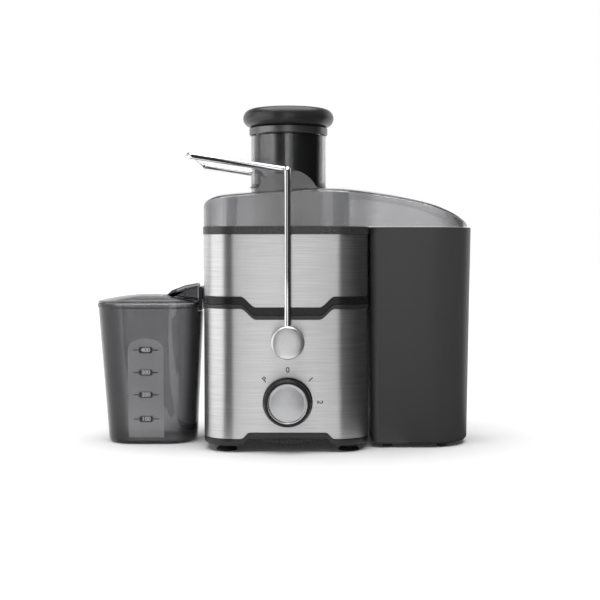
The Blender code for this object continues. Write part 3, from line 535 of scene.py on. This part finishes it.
copper = surface("enamelled_copper", (0.42, 0.13, 0.04), (0.62, 0.24, 0.09), 0.30,
                 metallic=1.0, scale=300, stretch=(1, 1, 8), bump=0.4)
lamination = surface("laminations", (0.10, 0.10, 0.11), (0.24, 0.24, 0.25), 0.45,
                     metallic=0.8, scale=60, stretch=(0.1, 0.1, 30), bump=0.5)
nylon = surface("nylon", (0.60, 0.60, 0.56), (0.68, 0.68, 0.64), 0.40, scale=800, bump=0.1)
refinish(copper, "field_coil_left", "field_coil_right", "commutator", "brush_holder_front",
         "brush_holder_rear")
refinish(lamination, "motor_stator", "armature")
refinish(plated_steel, "motor_bracket_top", "motor_bracket_bottom", "bearing_top",
         "bearing_bottom", "motor_shaft")
refinish(nylon, "rotary_switch", "interlock_switch", "cooling_fan")
refinish(black_plastic, "drive_coupling")
refinish(rubber, "shaft_seal")

# ---- filter basket
# The sieve is a cone of stainless sheet etched with rows of fine holes, crimped into a
# plastic base and rim; the grater disc in its floor has rings of small pressed teeth.

sieve_steel = surface("sieve_steel", (0.42, 0.42, 0.43), (0.62, 0.62, 0.63), 0.30,
                      metallic=1.0, scale=300, bump=0.2)
sieve_nodes = sieve_steel.node_tree.nodes
holes = sieve_nodes.new("ShaderNodeTexVoronoi")
give(holes, {"Scale": 520, "Randomness": 0.25})
hole_edge = sieve_nodes.new("ShaderNodeMath")
hole_edge.operation = "GREATER_THAN"
hole_edge.inputs[1].default_value = 0.42
wire(sieve_steel.node_tree.links, sieve_nodes.new("ShaderNodeTexCoord"), "Object", "Vector",
     holes, "Distance", 0, hole_edge, "Value", "Alpha", sieve_nodes["Principled BSDF"])
sieve_low, sieve_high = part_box("filter_sieve")
sieve_top_r = (sieve_high.x - sieve_low.x) / 2
sieve_floor_r, sieve_wall = 0.0516, 0.0008
sieve = spun([(sieve_top_r, sieve_high.z), (sieve_floor_r, sieve_low.z),
              (sieve_floor_r - sieve_wall, sieve_low.z),
              (sieve_top_r - sieve_wall, sieve_high.z)], (axis_x, 0, 0), closed=True)
add_piece("etched_sieve", sieve, sieve_steel, "rotor", ["filter_sieve"])
refinish(charcoal, "filter_base", "filter_rim")

disc_low, disc_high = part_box("grater_disc")
disc_r = (disc_high.x - disc_low.x) / 2
grater = spun([(0, disc_high.z), (0.005, disc_high.z), (0.0075, disc_low.z + 0.0017),
               (disc_r - 0.0005, disc_low.z + 0.0012), (disc_r, disc_low.z + 0.0006),
               (disc_r - 0.0004, disc_low.z), (0, disc_low.z)], (axis_x, 0, 0), steps=72)
first_ring, ring_pitch = 0.011, 0.0042
for ring in range(9):
    ring_r = first_ring + ring * ring_pitch
    teeth = 10 + ring * 5
    for i in range(teeth):
        angle = 2 * math.pi * (i + 0.5 * (ring % 2)) / teeth
        tooth_place = Matrix.Translation((axis_x + ring_r * math.cos(angle),
                                          ring_r * math.sin(angle), disc_low.z + 0.0021))
        bmesh.ops.create_cone(grater, cap_ends=True, segments=4, radius1=0.0009,
                              radius2=0.0001, depth=0.0016,
                              matrix=tooth_place @ Matrix.Rotation(angle, 4, "Z"))
disc_steel = surface("disc_steel", (0.50, 0.50, 0.51), (0.66, 0.66, 0.66), 0.25,
                     metallic=1.0, scale=200, bump=0.2)
add_piece("toothed_disc", grater, disc_steel, "rotor", ["grater_disc"])

# ---- lid
# One smoke-tinted SAN moulding covers the collector and the pulp bin. Its walls stand on
# the black band, its roof is crowned, and its top edge is rounded.


def smoky(name, tint, roughness=0.04, clear=1.0, ior=1.46, haze=0.02, edge_tint=0.35,
          edge_span=(0.04, 0.30)):
    """Tinted clear plastic, darker where the view runs along the wall."""
    material = surface(name, [c * 0.94 for c in tint], tint, roughness, scale=25,
                       spread=haze)
    nodes, links = material.node_tree.nodes, material.node_tree.links
    shader = nodes["Principled BSDF"]
    give(shader, {"Transmission Weight": clear, "IOR": ior})
    turned_away = nodes.new("ShaderNodeLayerWeight")
    give(turned_away, {"Blend": 0.5})
    depth = tones(nodes, (edge_span[0], (1, 1, 1)), (edge_span[1], [edge_tint] * 3))
    darken = nodes.new("ShaderNodeMix")
    darken.data_type = "RGBA"
    darken.blend_type = "MULTIPLY"
    give(darken, {"Factor": 1})
    wire(links, nodes["Color Ramp"], "Color", "A", darken, "Result", "Base Color", shader)
    wire(links, turned_away, "Facing", "Fac", depth, "Color", "B", darken)
    return material


lid_plastic = smoky("lid_plastic", (0.785, 0.785, 0.795), clear=0.87, edge_tint=0.60)
lid_low, lid_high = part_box("lid_cover")
lid_line = ((-0.090, 0.2615), (-0.084, 0.2650), (-0.074, 0.2685), (-0.057, 0.2705),
            (-0.010, 0.2738), (0.035, 0.2762), (0.075, 0.2744), (0.112, 0.2700),
            (0.150, 0.2623), (0.176, 0.2528), (0.190, 0.2455), (0.197, 0.2415))
lid_crown, crown_fade = 0.0048, 0.12
lid_round, lid_wall = 0.0027, 0.0022
lid_end_radius = 0.048
lid_bin_half = 0.0625
narrow_from, narrow_to = 0.054, 0.100
left_end, right_end = body_left - axis_x, lid_high.x - axis_x
straight_from, straight_to = left_end + body_corner, right_end - lid_end_radius


def lid_edge_height(x):
    """Height of the lid's top edge, a smooth line through a few heights."""
    for i in range(len(lid_line) - 1):
        (x0, z0), (x1, z1) = lid_line[i], lid_line[i + 1]
        if x <= x1 or i == len(lid_line) - 2:
            before, after = lid_line[max(i - 1, 0)], lid_line[min(i + 2, len(lid_line) - 1)]
            rise0 = (z1 - before[1]) / (x1 - before[0]) * (x1 - x0)
            rise1 = (after[1] - z0) / (after[0] - x0) * (x1 - x0)
            t = min(max((x - x0) / (x1 - x0), 0), 1)
            return ((2 * t**3 - 3 * t**2 + 1) * z0 + (t**3 - 2 * t**2 + t) * rise0
                    + (3 * t**2 - 2 * t**3) * z1 + (t**3 - t**2) * rise1)


def corner_width(reach, radius):
    """Half depth of a rounded corner at a place along it."""
    return math.sqrt(max(radius**2 - reach**2, 0))


def lid_half(x):
    """Half depth of the lid's plan at X from the axis."""
    if x < straight_from:
        return body_half - body_corner + corner_width(straight_from - x, body_corner)
    width = body_half + (lid_bin_half - body_half) * eased(
        (x - narrow_from) / (narrow_to - narrow_from))
    if x > straight_to:
        width += corner_width(x - straight_to, lid_end_radius) - lid_end_radius
    return width


def lid_roof(x, across):
    """Height of the roof at X from the axis and a share of the half depth."""
    fade = eased((right_end - x) / crown_fade)
    return lid_edge_height(x) + lid_crown * fade * (1 - across * across)


quarter = [math.radians(90 * i / 10) for i in range(11)]
lid_columns = [left_end + body_corner * (1 - math.cos(angle)) for angle in quarter]
lid_columns += [straight_from + (straight_to - straight_from) * i / 30 for i in range(1, 30)]
lid_columns += [straight_to + lid_end_radius * math.sin(angle) for angle in quarter]
rim_line = [Vector((left_end, 0)), *(Vector((x, lid_half(x))) for x in lid_columns),
            Vector((right_end, 0))]


def rim_drop(x, y):
    """How far the rounded top edge has fallen at a place in plan."""
    place = Vector((x, abs(y)))
    nearest = lid_round
    for start, end in zip(rim_line, rim_line[1:]):
        foot, share = intersect_point_line(place, start, end)
        foot = start.lerp(end, min(max(share, 0), 1))
        nearest = min(nearest, (place - foot).length)
    return lid_round - corner_width(lid_round - nearest, lid_round)


lid = bmesh.new()
bmesh.ops.create_grid(lid, x_segments=len(lid_columns) - 1, y_segments=40, size=1)
grid_places = sorted({round(vert.co.x, 5) for vert in lid.verts})
for vert in lid.verts:
    x = lid_columns[grid_places.index(round(vert.co.x, 5))]
    across = math.sin(vert.co.y * math.pi / 2)
    y = across * lid_half(x)
    vert.co = (axis_x + x, y, lid_roof(x, across) - rim_drop(x, y))
rim_edges = [edge for edge in lid.edges if edge.is_boundary]
skirt = bmesh.ops.extrude_edge_only(lid, edges=rim_edges)["geom"]
for item in skirt:
    if isinstance(item, bmesh.types.BMVert):
        item.co.z = lid_low.z
bmesh.ops.remove_doubles(lid, verts=lid.verts, dist=1e-6)
bmesh.ops.recalc_face_normals(lid, faces=lid.faces)
lid_piece = add_piece("smoky_lid", lid, lid_plastic, "base", ["lid_cover"],
                      wall=lid_wall)


def worked_out(source):
    """The final mesh of an object, its modifiers or its curve worked out."""
    bpy.context.view_layer.update()
    graph = bpy.context.evaluated_depsgraph_get()
    return bpy.data.meshes.new_from_object(source.evaluated_get(graph))


def cut_away(piece, cutter_name, cutter_shape):
    """Cut a closed shape out of a piece for good, then drop the cutter."""
    cutter = stand(cutter_name, cutter_shape)
    knife = piece.modifiers.new(cutter_name, "BOOLEAN")
    knife.object = cutter
    knife.solver = "EXACT"
    spent = [piece.data, cutter.data]
    piece.data = worked_out(piece)
    piece.modifiers.remove(knife)
    bpy.data.objects.remove(cutter)
    for mesh in spent:
        bpy.data.meshes.remove(mesh)


chute_r = (chute_high.x - chute_low.x) / 2
hole_r = chute_r + 0.0002
chute_hole = bmesh.new()
bmesh.ops.create_cone(chute_hole, cap_ends=True, segments=96, radius1=hole_r,
                      radius2=hole_r, depth=0.08)
bmesh.ops.translate(chute_hole, verts=chute_hole.verts, vec=(axis_x, 0, 0.27))
cut_away(lid_piece, "chute_hole", chute_hole)

# A round rib under the roof stands just outside the filter basket's rim and keeps the pulp
# from falling back on to it.
ring_r, ring_wall, ring_foot = 0.0700, 0.0020, lid_low.z + 0.0006
roof_inset = lid_wall + 0.0004
inner_ring = spun([(ring_r, lid_high.z), (ring_r, ring_foot),
                   (ring_r - ring_wall, ring_foot), (ring_r - ring_wall, lid_high.z)],
                  (axis_x, 0, 0), closed=True)
for vert in inner_ring.verts:
    if vert.co.z > ring_foot + 0.01:
        x = vert.co.x - axis_x
        vert.co.z = lid_roof(x, vert.co.y / lid_half(x)) - roof_inset
add_piece("lid_inner_ring", inner_ring, lid_plastic, "base")

# ---- feed chute
# The tall feed tube is part of the lid's moulding. A fillet joins it to the roof, and its
# top edge is rounded where the pusher's collar rests.

tube_plastic = smoky("tube_plastic", (0.74, 0.74, 0.75), edge_tint=0.6)
chute_wall = 0.003
chute_inner = chute_r - chute_wall
fillet_r = chute_r + 0.0020
lip_round, foot_round = 0.0008, 0.0006
roof_z = lid_high.z
chute = spun([(chute_r - lip_round, chute_high.z), (chute_r, chute_high.z - lip_round),
              (chute_r, roof_z + 0.004), (chute_r + 0.0006, roof_z + 0.0018),
              (fillet_r, roof_z + 0.0006), (fillet_r, roof_z + 0.0001),
              (chute_r, roof_z - 0.0004), (chute_r, chute_low.z + foot_round),
              (chute_r - foot_round, chute_low.z), (chute_inner + foot_round, chute_low.z),
              (chute_inner, chute_low.z + foot_round),
              (chute_inner, chute_high.z - lip_round),
              (chute_inner + lip_round, chute_high.z)], (axis_x, 0, 0), steps=128,
             closed=True)
add_piece("feed_tube", chute, tube_plastic, "base", ["feed_chute"])

# ---- lock ramps
# Half-moon cam plates stand on the lid's front and back edges. The wire climbs one side
# and drops into the notch, which holds the lid down.

ramp_plastic = smoky("ramp_plastic", (0.40, 0.40, 0.41), clear=0.80)
ramp_low, ramp_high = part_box("lock_ramp_front")
ramp_half = (ramp_high.x - ramp_low.x) / 2
ramp_inner = -ramp_high.y
moon_rise = ramp_high.z - 0.274
moon_r = (ramp_half**2 + moon_rise**2) / (2 * moon_rise)
notch_half, notch_floor = 0.004, 0.2922
wire_sweep = 0.1754
pivot_cap_r = 0.0175
pivot_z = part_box("pivot_cap_front")[0].z + pivot_cap_r
ramp_gap = 0.0006


def moon_height(x):
    """Height of the half-moon's curved edge at X from the axis."""
    return ramp_high.z - moon_r + corner_width(x, moon_r)


ramp_line = []
for i in range(25):
    x = ramp_half + (notch_half - ramp_half) * i / 24
    ramp_line.append((x, moon_height(x)))
ramp_line.append((notch_half, notch_floor))
for i in range(29):
    x = -ramp_half * i / 28
    ramp_line.append((x, min(moon_height(x), notch_floor,
                             pivot_z + corner_width(x, wire_sweep))))
for i in range(13):
    x = ramp_half * (i / 6 - 1)
    ramp_line.append((x, lid_roof(x, ramp_inner / body_half) + ramp_gap))
for name, side in (("front", -1), ("rear", 1)):
    node_low, node_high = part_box(f"lock_ramp_{name}")
    ramp = plate([(axis_x + x, z) for x, z in ramp_line], node_low.y, node_high.y)
    add_piece(f"lock_cam_{name}", ramp, ramp_plastic, "base",
              [f"lock_ramp_{name}"], edge=0.0004)

# ---- food pusher
# A hollow dark cup slides in the chute. Its collar rests on the tube, and a separate black
# cap with a fat rounded rim is pressed over the top.

pusher_plastic = smoky("pusher_plastic", (0.030, 0.030, 0.031), roughness=0.33, clear=0.15,
                       ior=2.4)
push_low, push_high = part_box("pusher_body")
collar_r = (push_high.x - push_low.x) / 2
push_r = chute_inner - 0.001
push_wall, push_chamfer = 0.0022, 0.003
collar_edge, collar_low = 0.0006, chute_high.z + 0.0003
pusher = spun([(0, push_low.z + push_wall), (push_r - push_wall, push_low.z + push_wall),
               (push_r - push_wall, push_high.z), (collar_r - collar_edge, push_high.z),
               (collar_r, push_high.z - collar_edge), (collar_r, collar_low + 0.0007),
               (collar_r - collar_edge, collar_low), (push_r, collar_low),
               (push_r, push_low.z + push_chamfer), (push_r - push_chamfer, push_low.z),
               (0, push_low.z)], (axis_x, 0, 0), steps=128)
add_piece("pusher_cup", pusher, pusher_plastic, "pusher", ["pusher_body"])

cap_plastic = surface("cap_plastic", (0.018, 0.018, 0.019), (0.026, 0.026, 0.027), 0.30,
                      scale=1200, bump=0.2)
cap_low, cap_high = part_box("pusher_cap")
cap_r = (cap_high.x - cap_low.x) / 2
cap_rim_r, cap_skirt_r = 0.0098, 0.0405
cap_outline = [(0, cap_high.z - 0.0022), (0.026, cap_high.z - 0.0020),
               (0.033, cap_high.z - 0.0012)]
for i in range(15):
    angle = math.radians(100 - 175 * i / 14)
    cap_outline.append((cap_r + cap_rim_r * (math.cos(angle) - 1),
                        cap_high.z + cap_rim_r * (math.sin(angle) - 1)))
cap_outline += [(cap_skirt_r, cap_low.z), (0, cap_low.z)]
add_piece("pusher_top_cap", spun(cap_outline, (axis_x, 0, 0), steps=128), cap_plastic,
          "pusher", ["pusher_cap"])

# ---- wire lock arm
# One length of chrome-plated wire is bent into a stirrup: two legs, a short step inwards
# over each ramp, and a sloping handle loop round the chute.

chrome = surface("chrome_wire", (0.70, 0.70, 0.71), (0.80, 0.80, 0.81), 0.07,
                 metallic=1.0, scale=40, spread=0.03)
arm_low, arm_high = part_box("wire_arm")
wire_r, wire_bend = 0.0035, 0.0055
leg_y = arm_high.y - wire_r
rod_y = 0.078
bend_z = 0.2963
handle_x, handle_z = arm_low.x + wire_r, arm_high.z - wire_r


def bent_path(corners, radius, steps):
    """A path through corners with each corner rounded."""
    corners = [Vector(corner) for corner in corners]
    path = [corners[0]]
    for before, here, after in zip(corners, corners[1:], corners[2:]):
        back, on = (before - here).normalized(), (after - here).normalized()
        reach = radius / math.tan(back.angle(on) / 2)
        start, end = here + back * reach, here + on * reach
        path += [(1 - i / steps)**2 * start + 2 * (i / steps) * (1 - i / steps) * here
                 + (i / steps)**2 * end for i in range(steps + 1)]
    return path + [corners[-1]]


def curve_shape(curve):
    """A curve's or a text's surface as a bmesh."""
    carrier = bpy.data.objects.new(curve.name, curve)
    scene.collection.objects.link(carrier)
    mesh = worked_out(carrier)
    bpy.data.objects.remove(carrier)
    shape = bmesh.new()
    shape.from_mesh(mesh)
    bpy.data.meshes.remove(mesh)
    bmesh.ops.remove_doubles(shape, verts=shape.verts, dist=1e-6)
    return shape


front_half = [(axis_x, -leg_y, arm_low.z), (axis_x, -leg_y, bend_z),
              (axis_x, -rod_y, bend_z), (handle_x, -rod_y, handle_z)]
back_half = [(x, -y, z) for x, y, z in reversed(front_half)]
wire_curve = bpy.data.curves.new("arm_path", "CURVE")
wire_curve.dimensions = "3D"
wire_curve.bevel_depth = wire_r
wire_curve.bevel_resolution = 8
wire_curve.use_fill_caps = True
arm_points = bent_path(front_half + back_half, wire_bend, 10)
wire_spline = wire_curve.splines.new("POLY")
wire_spline.points.add(len(arm_points) - 1)
for point, place in zip(wire_spline.points, arm_points):
    point.co = (*place, 1)
add_piece("chrome_arm", curve_shape(wire_curve), chrome, "lock_arm",
          ["wire_arm"], edge_angle=60)

# ---- pivot caps
# Domed satin silver discs hide the wire's ends. Each has a blind bore at the back and turns
# on a pin in the housing.

satin_silver = surface("satin_silver", (0.74, 0.74, 0.745), (0.80, 0.80, 0.80), 0.38,
                       metallic=0.9, scale=900, bump=0.1)
pin_bore_r, pin_bore_depth = 0.0046, 0.0062
for name, along in (("front", "-Y"), ("rear", "+Y")):
    inner, outer = sorted(abs(corner.y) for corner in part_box(f"pivot_cap_{name}"))
    outline = [(0, outer), (0.0090, outer - 0.0001), (0.0135, outer - 0.0004),
               (0.0158, outer - 0.0010), (0.0170, outer - 0.0020), (0.0174, outer - 0.0034),
               (pivot_cap_r, outer - 0.0050), (pivot_cap_r, inner + 0.0008),
               (pivot_cap_r - 0.0006, inner), (pin_bore_r, inner),
               (pin_bore_r, inner + pin_bore_depth), (0, inner + pin_bore_depth)]
    disc = spun(outline, (axis_x, 0, pivot_z), along=along, steps=72)
    add_piece(f"pivot_disc_{name}", disc, satin_silver, "lock_arm",
              [f"pivot_cap_{name}"])

# ---- dial
# A black knob with a pressed-in spun-metal face turns the rotary switch. Its face is
# turned on a lathe, so fine rings catch the light.

dial_low, dial_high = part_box("dial_knob")
face_low, face_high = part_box("dial_face")
dial_z = (dial_low.z + dial_high.z) / 2
dial_r = (dial_high.x - dial_low.x) / 2
face_r = (face_high.x - face_low.x) / 2
knob_back, knob_front = abs(dial_high.y), abs(dial_low.y)
recess_r, recess_floor, shaft_hole_r = face_r + 0.0006, knob_front - 0.0040, 0.0036
knob = spun([(recess_r, knob_front + 0.0004), (recess_r + 0.0010, knob_front + 0.0004),
             (recess_r + 0.0020, knob_front - 0.0004), (dial_r - 0.0016, recess_floor),
             (dial_r - 0.0008, knob_back + 0.0034), (dial_r, knob_back + 0.0024),
             (dial_r, knob_back + 0.0004), (dial_r - 0.0004, knob_back),
             (shaft_hole_r, knob_back), (shaft_hole_r, recess_floor),
             (recess_r, recess_floor)], (axis_x, 0, dial_z), along="-Y", closed=True)
add_piece("knob", knob, trim_plastic, "dial", ["dial_knob"])

face_metal, face_nodes, face_links, face_shader = paint("spun_face")
give(face_shader, {"Metallic": 1.0, "Roughness": 0.27})
face_centre = face_nodes.new("ShaderNodeMapping")
give(face_centre, {"Location": (-axis_x, 0, -dial_z), "Scale": (1, 0, 1)})
face_rings = face_nodes.new("ShaderNodeTexWave")
face_rings.wave_type = "RINGS"
face_rings.rings_direction = "SPHERICAL"
give(face_rings, {"Scale": 900, "Distortion": 0.6})
face_tone = tones(face_nodes, (0, (0.42, 0.42, 0.43)), (1, (0.54, 0.54, 0.55)))
face_relief = face_nodes.new("ShaderNodeBump")
give(face_relief, {"Strength": 0.12, "Distance": 0.00005})
wire(face_links, face_nodes.new("ShaderNodeTexCoord"), "Object", "Vector", face_centre,
     "Vector", "Vector", face_rings, "Fac", "Fac", face_tone, "Color", "Base Color",
     face_shader)
wire(face_links, face_rings, "Fac", "Height", face_relief, "Normal", "Normal", face_shader)
face_front, face_back = abs(face_low.y), abs(face_high.y)
dome_fall = 2.4
dome_line = [(r, face_front - dome_fall * r * r)
             for r in (0, 0.002, 0.005, 0.008, 0.011, 0.014, 0.017, 0.0190)]
face = spun(dome_line
            + [(0.0196, face_front - 0.0007), (0.0202, face_front - 0.0002),
               (0.0209, face_front - 0.0003),
               (face_r, face_front - 0.0010), (face_r, face_back), (0, face_back)],
            (axis_x, 0, dial_z), along="-Y")
add_piece("dial_plate", face, face_metal, "dial", ["dial_face"])

# ---- dial marks
# P, 0, 1 and 2 are printed in black ink on the steel round the dial. Each is turned so that
# its foot points to the dial's axis.

ink = surface("print_ink", (0.012, 0.012, 0.012), (0.020, 0.020, 0.020), 0.5, scale=2000,
              bump=0.1)


capital_share, ink_thickness, ink_spread = 0.7, 0.0001, 0.0001


def flat_text(name, words, height):
    """Lettering as a thin mesh in the XZ plane, centred on the origin, facing -Y."""
    letters = bpy.data.curves.new(name, "FONT")
    letters.body = words
    letters.size = height / capital_share
    letters.align_x, letters.align_y = "CENTER", "CENTER"
    letters.extrude = ink_thickness / 2
    letters.offset = ink_spread
    letters.resolution_u = 6
    shape = curve_shape(letters)
    bmesh.ops.rotate(shape, verts=shape.verts, cent=(0, 0, 0),
                     matrix=Matrix.Rotation(math.pi / 2, 3, "X"))
    return shape


mark_r, mark_height, mark_proud = 0.0337, 0.0058, 0.00015
for words, degrees in (("P", -45), ("0", 0), ("1", 45), ("2", 90)):
    mark = flat_text(f"mark_{words}", words, mark_height)
    angle = math.radians(degrees)
    bmesh.ops.rotate(mark, verts=mark.verts, cent=(0, 0, 0),
                     matrix=Matrix.Rotation(angle, 3, "Y"))
    bmesh.ops.translate(mark, verts=mark.verts,
                        vec=(axis_x + mark_r * math.sin(angle), -body_half - mark_proud,
                             dial_z + mark_r * math.cos(angle)))
    add_piece(f"dial_mark_{words}", mark, ink, "base")

# ---- spout
# A black flange frames the collector's outlet, and a smoky nozzle clips on to it and
# bends the stream down into the jug.

refinish(black_plastic, "spout_flange")
nozzle_plastic = smoky("nozzle_plastic", (0.25, 0.25, 0.26), edge_tint=0.55)
nozzle_low, nozzle_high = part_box("spout_nozzle")
nozzle_line = ((-0.1003, 0.1518), (-0.1003, 0.1760), (-0.1150, 0.1733), (-0.1293, 0.1680),
               (-0.1347, 0.1631), (-0.1163, 0.1560))
nozzle = plate([(axis_x + x, z) for x, z in nozzle_line], nozzle_low.y, nozzle_high.y)
ends = [face for face in nozzle.faces if face.normal.x > 0.9
        or (face.normal.z < -0.5 and face.calc_center_median().x < axis_x - 0.12)]
bmesh.ops.delete(nozzle, geom=ends, context="FACES_ONLY")
long_edges = [edge for edge in nozzle.edges if not edge.is_boundary
              and abs(edge.verts[0].co.y - edge.verts[1].co.y) < 1e-6]
soften(nozzle, long_edges, 0.006, 6)
add_piece("smoky_nozzle", nozzle, nozzle_plastic, "base", ["spout_nozzle"],
          wall=0.002)

# ---- pulp bin
# A deep charcoal bucket hooks under the lid's overhang. It is one moulding with draft,
# a rounded foot and four small studs under its floor, which the bin stands on.

bin_low, bin_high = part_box("pulp_bin")
bin_half = bin_high.y
bin_foot_z, bin_draft = 0.004, 0.003
pulp_bin = rounded_block((bin_low.x, -bin_half, bin_foot_z),
                         (bin_high.x, bin_half, bin_high.z), 0.008, 0.048, segments=24)
open_caps(pulp_bin, bottom=False)
soften(pulp_bin, edges_at(pulp_bin, bin_foot_z), 0.004, 5)
bin_middle = (bin_low.x + bin_high.x) / 2
for vert in pulp_bin.verts:
    depth = (bin_high.z - vert.co.z) / (bin_high.z - bin_foot_z)
    vert.co.x -= math.copysign(bin_draft * depth, vert.co.x - bin_middle)
    vert.co.y -= bin_draft * depth * vert.co.y / bin_half
add_piece("pulp_bucket", pulp_bin, charcoal, "pulp_container",
          ["pulp_bin"], wall=0.0025, edge=0.0006)

stud_places = ((0.108, -0.044), (0.108, 0.044), (0.167, -0.044), (0.167, 0.044))
for number, (x, y) in enumerate(stud_places, 1):
    stud = spun([(0, 0.0050), (0.0056, 0.0050), (0.0052, 0.0012), (0.0049, 0.0004),
                 (0.0042, 0), (0, 0)], (axis_x + x, y, 0), steps=40)
    add_piece(f"bin_stud_{number}", stud, charcoal, "pulp_container")

# ---- juice jug
# A smoke-tinted jug stands under the spout. Its front carries a shallow arched window
# with printed marks, and its rim is notched where the nozzle reaches in.

jug_plastic = smoky("jug_plastic", (0.38, 0.38, 0.39), edge_tint=0.32,
                    edge_span=(0.01, 0.16))
jug_low, jug_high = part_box("juice_jug")
jug_half = jug_high.y
jug_top_z = jug_high.z - 0.0001
jug_corner = 0.037
jug_foot = {"left": 0.0115, "right": 0.0075, "side": 0.0045}
jug = rounded_block((jug_low.x, -jug_half, 0), (jug_high.x, jug_half, jug_top_z),
                    jug_corner, jug_corner)
open_caps(jug, bottom=False)
soften(jug, edges_at(jug, 0), 0.005, 5)
jug_middle = (jug_low.x + jug_high.x) / 2
lip_height, lip_proud = 0.0042, 0.0007
lip_low = jug_top_z - lip_height
slice_across(jug, (lip_low, lip_low - lip_proud), along=(0, 0, 1))


def jug_reach(vert):
    """A point's share of the way from the jug's middle to its end."""
    return (vert.co.x - jug_middle) / (jug_high.x - jug_middle)


def jug_lean(z):
    """How far the jug's front and back have leaned in at a height."""
    return jug_foot["side"] * (jug_top_z - z) / jug_top_z


for vert in jug.verts:
    if vert.co.z > lip_low - 1e-5:
        vert.co.x += lip_proud * jug_reach(vert)
        vert.co.y *= 1 + lip_proud / jug_half
for vert in jug.verts:
    end = jug_foot["right" if jug_reach(vert) > 0 else "left"]
    vert.co.x -= end * (jug_top_z - vert.co.z) / jug_top_z * jug_reach(vert)
    vert.co.y -= jug_lean(vert.co.z) * vert.co.y / jug_half
jug_piece = add_piece("smoky_jug", jug, jug_plastic, "juice_container",
                      ["juice_jug"], wall=0.002)
notch_floor_z, notch_width, notch_tall = 0.1445, 0.043, 0.02
cut_away(jug_piece, "jug_notch", block((0.02, notch_width, notch_tall),
                                       (jug_high.x, 0, notch_floor_z + notch_tall / 2)))

# ---- jug lid
# A thin domed plate drops on to the jug, with a lip round its edge and a slot open to the
# right for the nozzle.

jug_lid_rim, dome_foot, dome_rise = 0.0015, 0.0018, 0.0073
jug_lid = rounded_block((jug_low.x, -jug_half, 0), (jug_high.x, jug_half, jug_lid_rim),
                        jug_corner, jug_corner)
open_caps(jug_lid, top=False)
dome = [face for face in jug_lid.faces if face.normal.z > 0.9][0]
share = 1.0
for next_share in (0.97, 0.94, 0.8, 0.65, 0.5, 0.35, 0.2, 0.08):
    bmesh.ops.inset_individual(jug_lid, faces=[dome], thickness=0)
    for vert in dome.verts:
        vert.co.x = jug_middle + (vert.co.x - jug_middle) * next_share / share
        vert.co.y *= next_share / share
        vert.co.z = dome_foot + dome_rise * (1 - next_share**2)
    share = next_share
bmesh.ops.translate(jug_lid, verts=jug_lid.verts, vec=(0, 0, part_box("juice_jug_lid")[0].z))
jug_lid_plastic = smoky("jug_lid_plastic", (0.60, 0.60, 0.61), edge_tint=0.55,
                        edge_span=(0.01, 0.16))
jug_lid_piece = add_piece("jug_dome", jug_lid, jug_lid_plastic, "juice_container",
                          ["juice_jug_lid"], wall=0.0012, edge_angle=50)
slot_left, slot_length = axis_x - 0.138, 0.053
cut_away(jug_lid_piece, "jug_slot", block((slot_length, notch_width, 0.04),
                                          (slot_left + slot_length / 2, 0, 0.16)))

# ---- jug window
# An arched panel on the jug's front is left unpolished, so that the level shows behind
# the marks.

window_plastic = smoky("window_plastic", (0.78, 0.78, 0.79), roughness=0.22, clear=0.85)
mark_x = axis_x - 0.155
window_half, window_foot, window_shoulder, window_rise = 0.0194, 0.0080, 0.1050, 0.0120
window_proud, window_gap = 0.0005, 0.0001
window_line = [(-window_half, window_foot), (window_half, window_foot)]
for i in range(17):
    angle = math.pi * i / 16
    window_line.append((window_half * math.cos(angle),
                        window_shoulder + window_rise * math.sin(angle)))
window = plate([(mark_x + x, z) for x, z in window_line], -window_proud, 0)
for vert in window.verts:
    vert.co.y += jug_lean(vert.co.z) - jug_half - window_gap
add_piece("jug_window", window, window_plastic, "juice_container")

# ---- jug marks
# White figures on black tags are printed on the jug's window, one for each 100 ml. A short
# line on both sides of a tag shows the level.

white_ink = surface("white_ink", (0.50, 0.50, 0.50), (0.58, 0.58, 0.58), 0.5, scale=2000,
                    bump=0.1)
tag_width, tag_height, tag_depth = 0.0144, 0.0066, 0.0003
tick_length, tick_height, tick_reach = 0.0065, 0.0009, 0.0102
figure_height = 0.0046
for words, level in (("100", 0.0283), ("200", 0.0550), ("300", 0.0794), ("400", 0.1040)):
    tag_y = jug_lean(level) - jug_half - window_proud - 0.0004
    tag = block((tag_width, tag_depth, tag_height), (mark_x, tag_y, level))
    corners = [edge for edge in tag.edges
               if abs(edge.verts[0].co.y - edge.verts[1].co.y) > tag_depth / 2]
    soften(tag, corners, 0.0012, 3)
    for side in (-1, 1):
        block((tick_length, tag_depth, tick_height),
              (mark_x + side * tick_reach, tag_y, level), tag)
    add_piece(f"level_tag_{words}", tag, ink, "juice_container")
    figures = flat_text(f"figures_{words}", words, figure_height)
    bmesh.ops.translate(figures, verts=figures.verts, vec=(mark_x, tag_y - tag_depth, level))
    add_piece(f"level_figures_{words}", figures, white_ink, "juice_container")
